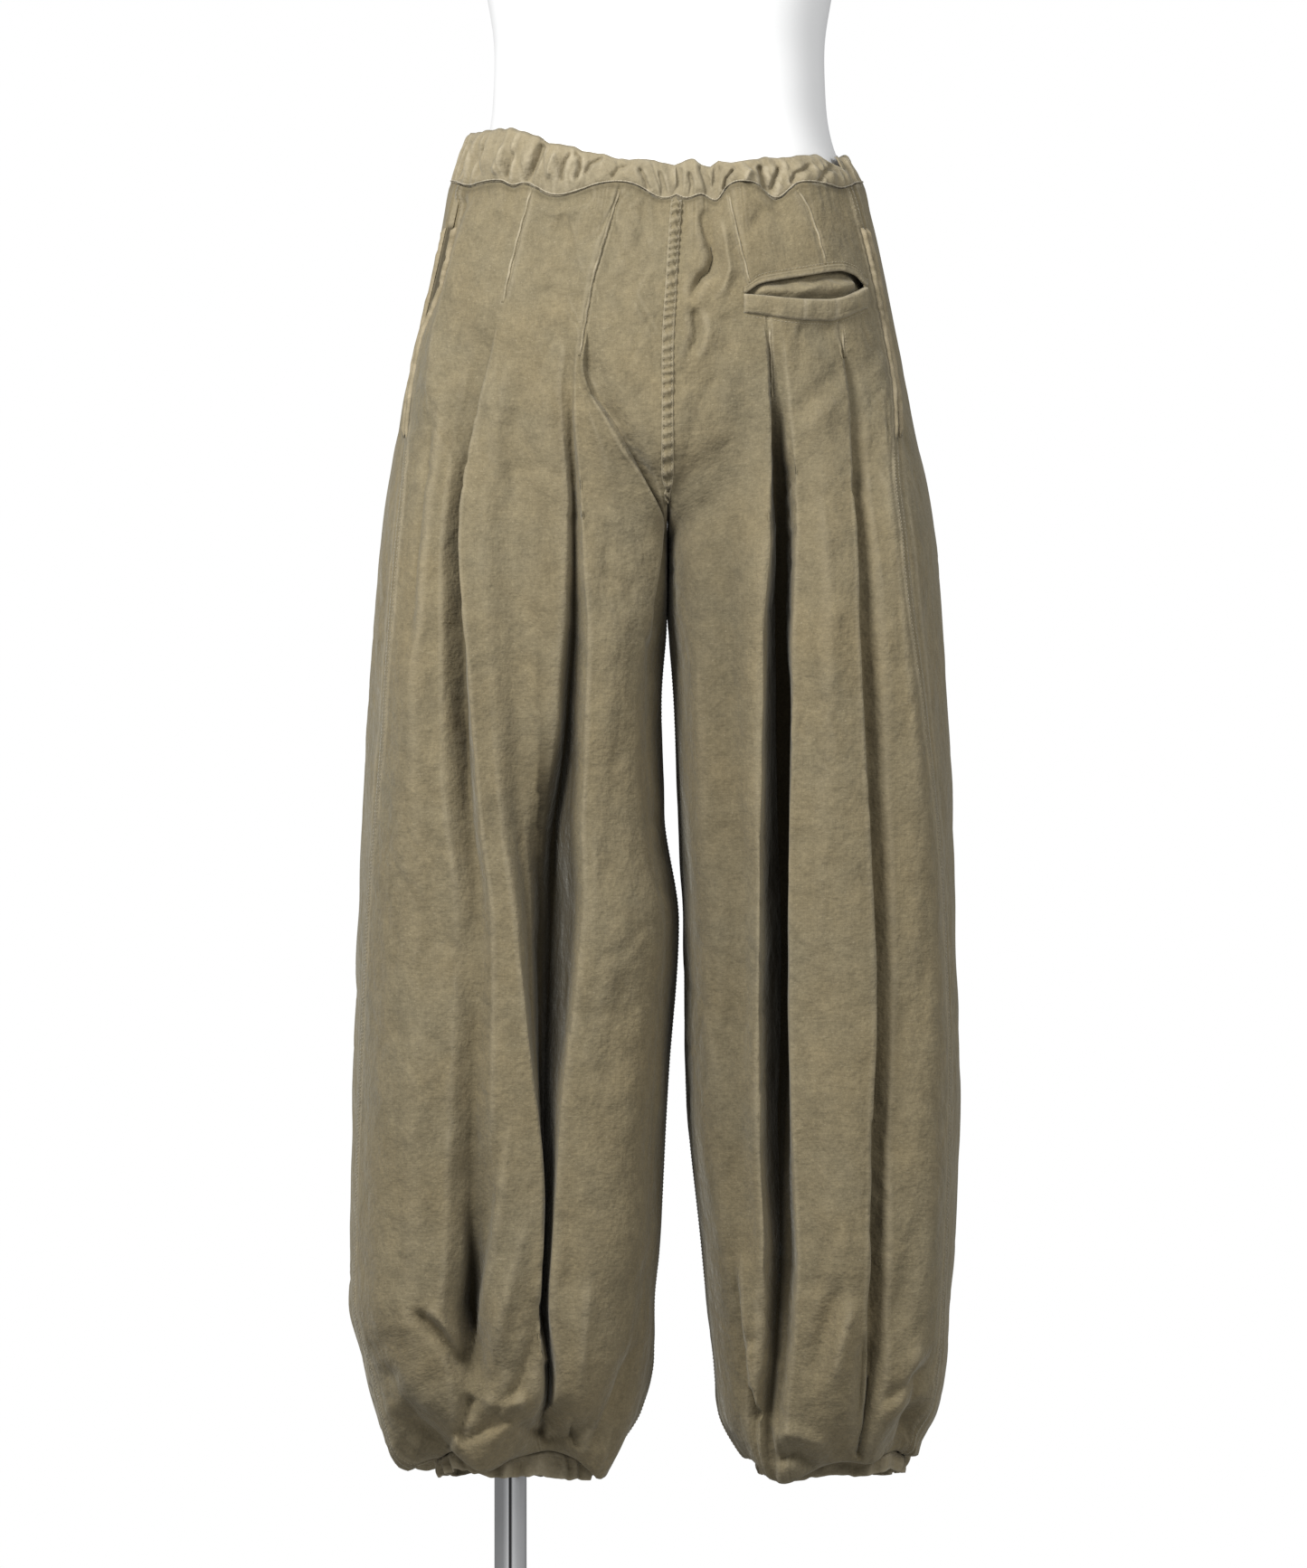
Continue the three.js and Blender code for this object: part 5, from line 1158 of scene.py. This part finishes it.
fine_v = np.arange(coarse_v[0], coarse_v[-1], STRAP_PITCH)


# The strap's rows are finer than the panel's, so that its puckers are round
def at_fine_rows(values):
    columns = [np.interp(fine_v, coarse_v, column) for column in values.reshape(len(values), -1).T]
    return np.stack(columns, -1).reshape((len(fine_v),) + values.shape[1:])


strap_points, strap_out = at_fine_rows(strap_points), at_fine_rows(strap_out)
strap_v = fine_v[:, None]
across = np.concatenate([-DISTANCES[::-1], DISTANCES])[None, :]
ripple = 1.25 * np.sin(strap_v * 0.84 + 1.9 * np.sin(strap_v * 0.13) + np.where(across > 0, 0.9, 0.0))
ripple = ripple * (0.35 + bell(np.abs(across), 2.0, 1.5))
height = np.concatenate([PROFILE[::-1], PROFILE])[None, :] + ripple
strap_outer = strap_points + strap_out * height[..., None]
# The seam's edges are worn lighter, and the puckers' crests get a painted highlight
strap_wear_and_highlight = 0.65 * bell(np.abs(across), 4.3, 0.6) + 0.4 * np.clip(ripple * 0.9, 0, 1)
finish_piece(shell(
    "seam_centre_back_cloth", strap_outer, strap_points - strap_out * 0.1,
    (across + 0 * strap_v, strap_v + 0 * across), strap_wear_and_highlight,
), canvas, "canvas", "seam_centre_back")

# Bound edges of the side pockets
BIND_LIFT = np.array([0.1, 1.5, 2.3, 2.5, 2.3, 1.5, 0.1])[None, :]
bind_across = np.linspace(-1, 1, 7)[None, :]
for side_name, side in SIDES:
    for half, low, high, phase in (("back", 0.8, 6.4, 0), ("front", 2.6, 8.2, 1.3)):
        panel = panels[f"{half}_{side_name}"]
        rows = (panel.rows <= SIDE_POCKET_HIGH) & (panel.rows >= SIDE_POCKET_LOW)
        points, out = (found[rows] for found in along_rows(panel, np.linspace(low, high, 7), half == "front"))
        if half == "back":
            points, out = points[:, ::-1], out[:, ::-1]
        t = np.linspace(0, 1, len(points))[:, None]
        wave = 0.5 * np.sin(t * 31 + phase) + 0.35 * np.sin(t * 67 + 0.4)
        lift = BIND_LIFT * smoothstep(np.minimum(t, 1 - t), 0, 0.02) + wave * 0.5 * (BIND_LIFT > 0.5)
        v = panel.v[rows][:, :1]
        wear = 0.25 + 0.25 * np.sin(t * 57 + 2 * np.sin(t * 23)) + 0.4 * (np.abs(bind_across) > 0.5)
        piece = shell(
            f"pocket_binding_{side_name}_{half}", points + out * lift[..., None], points - out * 0.2,
            (2 * (bind_across + 1) + 0 * v, v + 0 * lift), np.clip(wear, 0, 1),
        )
        finish_piece(piece, binding, "worn_binding", f"pocket_edge_{side_name}_{half}")


# Directions out of the back for a grid on it
def grid_out(grid):
    normal = unit(np.cross(np.gradient(grid, axis=1), np.gradient(grid, axis=0)))
    return np.where(normal[..., 1:2] > 0, -normal, normal)


# A grid over the back pocket, on the panel with its small crumples smoothed out: columns across it, shares
# of the way up, the columns kept within the mouth, places x and z, the points and the way out of them
def pocket_grid(start, stop, columns, rows, low_and_high, limits=(-math.inf, math.inf)):
    columns = np.linspace(start, stop, columns)
    share = np.linspace(0, 1, rows)[:, None]
    inside = np.clip(columns, MOUTH_START, MOUTH_END)[None, :]
    low, high = low_and_high(inside)
    xs, zs = columns[None, :] + 0 * share, low + (high - low) * share
    base = np.empty(xs.shape + (3,))
    for index in np.ndindex(xs.shape):
        z = np.clip(zs[index], *limits)
        found = on_back(xs[index], z, "back_right")
        base[index] = found[0] if found else (xs[index], np.nan, z)
    base[..., 1] = smooth_rows(base[..., 1].T, 6).T
    return columns, share, inside, xs, zs, base, grid_out(base)


# The welt: a flat roll with stitched edges, a worn upper edge and two creases
columns, share, inside, xs, zs, base, normal = pocket_grid(
    66.5, 161.5, 60, 15, lambda at: (WELT_LOW(at), WELT_HIGH(at)))
end = np.minimum(columns - columns[0], columns[-1] - columns)[None, :]
arch = np.sin(np.pi * share)
profile = 3.5 * np.sqrt(np.clip(1 - (2 * share - 1) ** 10, 0, 1)) + 0.5 * arch
profile = profile - 0.5 * bell(share, 0.16, 0.05) - 0.35 * bell(share, 0.88, 0.05)
profile = profile * smoothstep(end, -0.5, 1.6) + 0.35 * np.sin(columns * 0.35)[None, :] * arch
profile = profile - 0.5 * bell(end, 3.2, 1.0) + 0.9 * share * smoothstep(end, 4, 25)
crease = (bell(columns, 112, 2.0) + bell(columns, 136, 2.2))[None, :]
outer = base + normal * (0.2 + profile - 0.6 * crease * arch)[..., None]
wear = 0.12 + 0.85 * bell(share, 1, 0.1) + 0.5 * bell(share, 0, 0.09) + 0.5 * bell(end, 0, 1.6)
wear = np.clip(wear + 0.55 * smoothstep(crease, 0.3, 1), 0, 1)
piece = shell("pocket_welt_cloth", outer, base - normal * 0.3, (xs, zs), wear)
finish_piece(piece, canvas, "canvas", "pocket_welt")

# The facing that shows in the open mouth, with a puff and a tuck
columns, share, inside, xs, zs, base, normal = pocket_grid(
    64, 164, 70, 22, lambda at: (MOUTH_LOW(at) - 6, MOUTH_HIGH(at) + 6), (1030, 1082))
opening = smoothstep(inside, 68, 84) * (1 - smoothstep(inside, 150, 160))
puff = bell(share, 0.46, 0.2) * opening
tuck = bell(share, 0.28, 0.07) * smoothstep(inside, 104, 116) * (1 - smoothstep(inside, 136, 150))
wrinkle = 1.0 * np.sin((xs - 2.1 * (zs - 1060)) * 0.28) * bell(xs, 128, 22)
wrinkle = wrinkle + 0.7 * np.sin((xs + 1.5 * (zs - 1060)) * 0.22 + 1)
outer = base + normal * (-7.5 + 9.0 * puff - 2.5 * tuck + wrinkle * opening * 0.8)[..., None]
piece = shell("pocket_facing_cloth", outer, outer - normal, (xs, zs), 0.25 * puff)
finish_piece(piece, canvas, "canvas", "pocket_facing")

# Folded upper edge of the mouth
columns, share, inside, xs, zs, base, normal = pocket_grid(
    66.5, 161.5, 64, 9, lambda at: (MOUTH_HIGH(at) - 2.0, MOUTH_HIGH(at) + 3.4))
lift = 1.5 * np.sqrt(np.clip(1 - (2 * share - 1) ** 4, 0, 1)) + 0.2 * np.sin(columns * 0.4)[None, :]
outer = base + normal * (0.15 + lift - 0.5 * bell(share, 0.6, 0.1))[..., None]
wear = 0.8 * bell(share, 0.12, 0.14) + 0.2 + 0 * xs
finish_piece(shell("pocket_mouth_edge", outer, base - normal * 0.6, (xs, zs), wear), canvas, "canvas")

# Torso form
turns = np.linspace(0, 2, 120, endpoint=False)
heights = np.unique(np.concatenate([
    np.linspace(FORM_LOW, FORM_HIGH, 150), np.linspace(FORM_LOW, 966, 8), np.linspace(1692, FORM_HIGH, 6),
]))
rings = []
for z in heights:
    x, y = form_plan(z, np.pi * np.where(turns <= 1, turns, 2 - turns), np.where(turns <= 1, RIGHT, LEFT))
    rounding = 1 - 0.10 * smoothstep(z, 1693.5, 1700.5) ** 2
    rings.append(np.stack([FORM_X + (x - FORM_X) * rounding, y * rounding, np.full_like(x, z)], -1))
form_grid = np.array(rings)
form_grid[1:-1] = smooth_rows(form_grid[1:-1], 4)
form_piece = make_mesh("dress_form_smooth", form_grid.reshape(-1, 3), tube_faces(len(heights), len(turns)))
finish_piece(form_piece, form_white, "form_white", "dress_form")


# Pole and foot: pairs of radius and height turned round the pole's axis
def lathe(name, profile, segments, *nodes):
    angles = np.linspace(0, 2 * np.pi, segments, endpoint=False)
    points = [
        (POLE_X + radius * math.cos(a), radius * math.sin(a), z) for radius, z in profile for a in angles
    ]
    return finish_piece(make_mesh(name, points, tube_faces(len(profile), segments)), chrome, "stand_chrome", *nodes)


pole_profile = [(12.5, z) for z in (6.2, 7, 200, 400, 600, POLE_TOP - 0.4)]
lathe("pole_tube", [*pole_profile, (12.3, POLE_TOP)], 96, "pole")
lathe("foot_collar", [
    (20.5, 6.05), (21, 6.5), (21, 13.2), (20.6, 14.4), (19.6, 15.0), (16.5, 15.2), (14.4, 15.8),
    (13.4, 17.4), (12.75, 19.0),
], 96)
foot_turns = np.linspace(0, math.pi / 2, 6)
middle = FOOT_RADIUS - FOOT_ROUNDING
foot_low = [(middle + FOOT_ROUNDING * math.sin(a), FOOT_ROUNDING * (1 - math.cos(a))) for a in foot_turns]
foot_high = [(middle + FOOT_ROUNDING * math.cos(a), 4.5 + FOOT_ROUNDING * math.sin(a)) for a in foot_turns]
lathe("foot_plate", [(20, 0), *foot_low, *foot_high, (120, 6.0), (20, 6.0)], 160, "foot")


# Uneven gathers, 0 on the crests and up to 1 in the valleys
def gather(turns):
    uneven = turns + 0.33 * np.sin(turns * 0.9 + 1) + 0.22 * np.sin(turns * 2.3)
    strength = 0.72 + 0.28 * np.sin(turns * 1.7 + 0.6)
    return strength * (0.5 - 0.5 * np.cos(2 * math.pi * uneven))


# A row of values with places added between them
def refined(values, times):
    n = len(values)
    at = np.linspace(0, n - 1, (n - 1) * times + 1)
    columns = [np.interp(at, np.arange(n), column) for column in values.reshape(n, -1).T]
    return np.stack(columns, -1).reshape((len(at),) + values.shape[1:])


# Waist casing: the back or the front part, over both halves
def band(part):
    halves = []
    for side_name, side in SIDES:
        panel = panels[f"{part}_{side_name}"]
        around, edge = refined(panel.around[0], 2), refined(panel.grid[0], 2)
        if part == "front":
            around, edge = around[::-1], edge[::-1]
        halves.append((side + 0 * around, around, edge))
    side, around, edge = (np.concatenate([left[::-1], right[1:]]) for left, right in zip(*halves))
    is_left, is_back = side < 0, part == "back"
    of_side = lambda values: np.where(is_left, *(values(value) for value in (LEFT, RIGHT)))
    share = np.linspace(0, 1, 22)[:, None]
    tall = np.where(is_left, BAND_LEFT(around), BAND_RIGHT(around))
    if is_back:
        drawn = np.interp(to_pixels(edge[:, 0], 0)[0], *zip(*TOP_EDGE))
        tall = mm(0, drawn)[1] - edge[:, 2]
    run = run_along(edge)
    z = edge[:, 2] + 0.2 + tall * share
    taper = 1 - BAND_TAPER * share
    x, y = FORM_X + (edge[:, 0] - FORM_X) * taper, edge[:, 1] * taper
    out = of_side(lambda value: outward_of(value, np.full(len(around), WAIST_LEVEL), around)).T
    form_x, form_y = of_side(lambda value: form_plan(z, np.pi * around[None, :] + 0 * z, value))
    standoff = (x - form_x) * out[:, 0] + (y - form_y) * out[:, 1]
    # Gathers, small folds and the folds of the photo, as depth under the casing's plain shape
    across = run[None, :]
    turns = BAND_GATHERS * around[None, :] + np.where(is_left, 0, 5)[None, :]
    main = gather(turns + 0.38 * np.sin(run * 0.045 + 0.8)[None, :] * (share - 0.3))
    small = 0.9 * lattice_noise(across + 9 * share, 26 * share + 0 * x, 5.5, 26, 51)
    small = small + 0.9 * lattice_noise(across - 14 * share, 30 * share + 0 * x, 9.0, 22, 57)
    small = small + 1.3 * bell(lattice_noise(across + 16 * share, 24 * share + 0 * x, 11, 30, 61), 0, 0.16)
    inward = (0.30 if is_back else 0.75) * GATHER_DEPTH * FULLNESS(share) * main
    if is_back:
        inward = inward + 1.2 + 1.75 * crease_depth(*to_pixels(x, z), BAND_FOLDS)
    inward = inward + small * np.sin(math.pi * np.clip(share * 0.9 + 0.06, 0, 1))
    inward = inward - PUFF(share) * (0.55 + 0.45 * np.sin(run * 0.11)[None, :])
    if is_back:
        inward = inward - 5.2 * np.sin(math.pi * np.clip(share * 0.95 + 0.02, 0, 1)) ** 0.7
    inward = np.minimum(inward, standoff - BAND_WALL - 0.8)
    z = z - (0.0 if is_back else 1.5) * main * share**2
    z = z + 0.9 * lattice_noise(across + 0 * share, 0 * x, 7, 10, 63) * share**3
    # The upper edge is rolled inwards
    inward = inward + 0.9 * np.clip((share - 0.93) / 0.07, 0, 1) ** 2
    outer = np.stack([x - out[:, 0] * inward, y - out[:, 1] * inward, z], -1)
    inner = outer.copy()
    inner[..., :2] -= out * CASING_SHELL
    crest = np.clip(-(inward - smooth_rows(inward.T, 6).T) * 0.9, 0, 0.55)
    wear = np.clip(0.30 * bell(share, 1, 0.05) + 0.45 * bell(share, 0, 0.05), 0, 1)
    # Painted light: the whole casing is made lighter by 0.46, as it catches more light; its edges and crests are
    # worn lighter, and painted shade darkens its rolled upper edge
    piece = shell(
        f"waistband_{part}_cloth", outer, inner, (across + 0 * x, tall * share),
        np.clip(wear + crest + 0.46, 0, 1), deep=0.6 * bell(share, 1, 0.035) + 0 * x,
    )
    return outer, out, finish_piece(piece, canvas, "canvas", f"waistband_{part}")


bands = {part: band(part) for part in ("back", "front")}


# Hem casing of one leg, a ring round it
def hem_casing(side_name, side):
    ends = [(panels[f"{half}_{side_name}"], times) for half, times in (("back", 1), ("front", 2))]
    around = np.concatenate([refined(panel.around[-1], times)[:-1] for panel, times in ends])
    edge = np.concatenate([refined(panel.grid[-1], times)[:-1] for panel, times in ends])
    share = np.linspace(0, 1, 12)[:, None]
    out = np.stack(outward_of(side, np.full(len(around), HEM), around), -1)
    run = run_along(edge)
    turns = CASING_GATHERS * around[None, :] + (2 if side == LEFT else 9)
    main = gather(turns + 0.25 * np.sin(run * 0.05)[None, :] * share)
    fine = lattice_noise(run[None, :] + 8 * share, 14 * share + 0 * run, 5, 14, 71 + side)
    inward = 1.2 + 7 * CASING_DEPTH(share) * main + (1.4 * fine - 1.6) * np.sin(math.pi * share)
    inward = inward + 1.2 * (1 - smoothstep(share, 0, 0.12))
    z = edge[:, 2] + CASING_LAP - 0.65 - (CASING_HEIGHT + CASING_LAP) * share + 0.9 * fine * share
    if side == LEFT:
        z = z - 7.0 * bell(around, 0.19, 0.05) * share
    outer = np.stack([edge[:, 0] - out[:, 0] * inward, edge[:, 1] - out[:, 1] * inward, z], -1)
    inner = outer.copy()
    inner[..., :2] -= out * CASING_SHELL
    wear = 0.45 * bell(share, 0.97, 0.07) + 0.62 - 0.45 * main + 0.3 * bell(share, 0.2, 0.06)
    piece = shell(
        f"hem_casing_{side_name}_cloth", outer, inner,
        (run[None, :] + 0 * main, CASING_HEIGHT * share + 0 * main), wear, ring=True,
    )
    return outer, out, finish_piece(piece, canvas, "canvas", f"hem_casing_{side_name}")


casings = [hem_casing(*names) for names in SIDES]


# Stitches: short rounded threads laid along lines of points, with outward directions
STITCH_RINGS = ((0.0, 0.45, -0.15), (0.5, 1.0, 0.12), (1.0, 0.45, -0.15))
stitch_points, stitch_faces = [], []


# One row of stitches at a pitch, with the length, radius and lift of a stitch in millimetres
def stitch_row(points, outward, pitch=2.9, length=2.15, radius=0.27, lift=0.12):
    run = run_along(points)
    at = np.arange(pitch / 2, run[-1] - pitch / 2, pitch)
    inter = lambda values, places: np.stack([np.interp(places, run, column) for column in values.T], -1)
    start, stop = inter(points, at - length / 2), inter(points, at + length / 2)
    for a, b, n in zip(start, stop, unit(inter(outward, at))):
        size = np.linalg.norm(b - a)
        if size < 0.5:
            continue
        side = unit(np.cross((b - a) / size, n))
        stitch_faces.extend(tube_faces(3, 4, len(stitch_points)))
        for t, swell, rise in STITCH_RINGS:
            centre = a + (b - a) * t + n * (lift + rise)
            for turn in 2 * math.pi * (np.arange(4) + 0.5) / 4:
                stitch_points.append(centre + radius * swell * (side * math.cos(turn) + n * math.sin(turn)))


# Directions in plan as directions in space
def with_height(out):
    return np.concatenate([out, np.zeros((len(out), 1))], 1)


# Two rows on the felled seam of the back, one on each side of it
for column in (4, 13):
    stitch_row(strap_outer[:, column], strap_out[:, column])
# Side seams above and below the pockets, and the inner edge of the front panels' seam
for name, _ in SIDES:
    panel = panels["back_" + name]
    points, out = along_rows(panel, np.array([1.8, 7.2]), False)
    for k in (0, 1):
        for rows in (panel.rows < SIDE_POCKET_LOW - 4, panel.rows > SIDE_POCKET_HIGH + 3):
            stitch_row(points[rows][:, k], out[rows][:, k])
    points, out = along_rows(panels["front_" + name], np.array([3.2]), False)
    stitch_row(points[:, 0], out[:, 0])
# Seams of the casings
for outer, out, _ in bands.values():
    stitch_row(outer[1], with_height(out))
for outer, out, _ in casings:
    stitch_row(outer[3], with_height(out), pitch=2.7)


# Points of the back and the ways out of it at places x, z
def found_on_back(places, *names):
    found = [on_back(x, z, *names) for x, z in places]
    return [np.array(values) for values in zip(*(f for f in found if f))]


# Places along a line of photo pixels
def places_along(line, step):
    line = np.array([mm(x, y) for x, y in line])
    run = run_along(line)
    at = np.arange(0, run[-1], step)
    return at, np.interp(at, run, line[:, 0]), np.interp(at, run, line[:, 1])


stitch_row(*found_on_back([(x, MOUTH_HIGH(x) + 5.2) for x in np.linspace(70, 159, 60)], "back_right"))
stitch_row(*found_on_back([(x, WELT_LOW(x) - 2.2) for x in np.linspace(67, 161, 60)], "back_right"))
for _, line in WORN_LINES[:STITCHED_LINES]:
    _, x, z = places_along([(px + 2.4, py) for px, py in line], 1.5)
    stitch_row(*found_on_back(zip(x, z)), pitch=2.6, length=1.7, radius=0.2, lift=0.0)

# Rolled edges of the stitched pleats: height across the roll
ROLL = np.array([0.0, 0.75, 1.0, 0.8, 0.0])[None, :]
ROLL_WIDTH, ROLL_LIFT = 2.2, 0.9


def rolled_edge(name, line):
    at, x, z = places_along(line, 1.6)
    dx, dz = np.gradient(x), np.gradient(z)
    size = np.hypot(dx, dz)
    offsets = np.linspace(-0.5, 0.5, 5)[None, :] * ROLL_WIDTH
    xs = x[:, None] - (dz / size)[:, None] * offsets + 0.25 * np.sin(at * 0.37)[:, None]
    zs = z[:, None] + (dx / size)[:, None] * offsets
    found = [[on_back(a, b) for a, b in zip(*pair)] for pair in zip(xs, zs)]
    there = np.array([all(row) for row in found])
    xs, zs, at = xs[there], zs[there], at[there] - at[there][0]
    base = np.array([[point[0] for point in row] for row, ok in zip(found, there) if ok])
    base[..., 1] = smooth_rows(base[..., 1], 2)
    normal = grid_out(base)
    ends = smoothstep(np.minimum(at, at[-1] - at), 0, 8)[:, None]
    swell = 1 + 0.25 * np.sin(at * 0.9 + 1.3 * np.sin(at * 0.31))[:, None]
    outer = base + normal * (0.1 + ROLL_LIFT * ROLL * ends * swell)[..., None]
    wear = 1.25 * ROLL * (0.75 + 0.25 * np.sin(at * 0.21 + 0.7))[:, None] * ends
    finish_piece(shell(name, outer, base - normal * 0.5, (xs, zs), wear), canvas, "canvas")


DARTS = (
    ("outer_left", ((589, 206), (582, 232), (574, 260), (564, 300), (556, 338))),
    ("inner_left", ((685, 212), (670, 260), (655, 310), (645, 370), (641, 398))),
    ("inner_right", ((805, 217), (817, 270), (829, 316))),
    ("inner_right_low", ((850, 362), (852, 400), (853, 448))),
    ("outer_right", ((881, 212), (893, 230), (905, 265), (913, 296))),
    ("outer_right_low", ((930, 366), (933, 398))),
)
for dart, line in DARTS:
    rolled_edge("pleat_edge_" + dart, line)


# Light thread rolls along the waist casing's seams: the cloth's folded edge under its stitches
def seam_roll(name, outer, out):
    line = outer[1] + with_height(out * 0.5)
    keep = np.concatenate([[True], np.linalg.norm(np.diff(line, axis=0), axis=-1) > 0.05])
    line, lift = smooth_rows(line[keep], 3), with_height(out[keep])
    up = unit(np.cross(unit(np.gradient(line, axis=0)), lift))
    step = np.arange(len(line))
    swell = (SEAM_RADIUS * (1 + 0.22 * np.sin(step * 0.83) + 0.12 * np.sin(step * 0.31)))[:, None]
    rings = [line + (lift * math.cos(turn) + up * math.sin(turn)) * swell for turn in np.arange(6) * math.pi / 3]
    piece = make_mesh(name, np.stack(rings, 1).reshape(-1, 3), tube_faces(len(line), 6))
    finish_piece(piece, thread, "worn_binding")


for part, (outer, out, _) in bands.items():
    seam_roll(f"waistband_seam_{part}", outer, out)

finish_piece(make_mesh("stitching", stitch_points, stitch_faces), thread, "worn_binding")


# Lighting: a white studio with soft light from the front and above. The camera sees white behind the part.
world = bpy.data.worlds.new("studio")
world.use_nodes = True
backdrop, output = (world.node_tree.nodes[name] for name in ("Background", "World Output"))
backdrop.inputs["Color"].default_value = (1, 1, 1, 1)
backdrop.inputs["Strength"].default_value = 1.0
nodes = Nodes(world.node_tree)
room = nodes.put("Background", {"Color": (0.97, 0.98, 1.0, 1), "Strength": 0.40})
seen = nodes.put("LightPath").outputs["Is Camera Ray"]
studio = nodes.put("MixShader", {0: seen, 1: room.outputs[0], 2: backdrop.outputs[0]})
nodes.set(output.inputs["Surface"], studio.outputs[0])
scene.world = world


def area_light(name, place, aim, power, size):
    data = bpy.data.lights.new(name, "AREA")
    data.energy = power
    data.shape = "RECTANGLE"
    data.size, data.size_y = size
    light = bpy.data.objects.new(name, data)
    light.location = place
    light.rotation_euler = (Vector(aim) - Vector(place)).to_track_quat("-Z", "Y").to_euler()
    scene.collection.objects.link(light)


area_light("key", (-1.15, -1.8, 2.35), (0, 0, 0.95), 84, (0.9, 0.9))
area_light("fill", (1.9, -2.6, 2.1), (0, 0, 0.8), 42, (1.3, 1.5))
scene.view_settings.view_transform = "Standard"

visual_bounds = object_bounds()
plain = lambda box: [[float(v) for v in corner] for corner in box]
{"cad": plain(cad_bounds), "visual": plain(visual_bounds)}
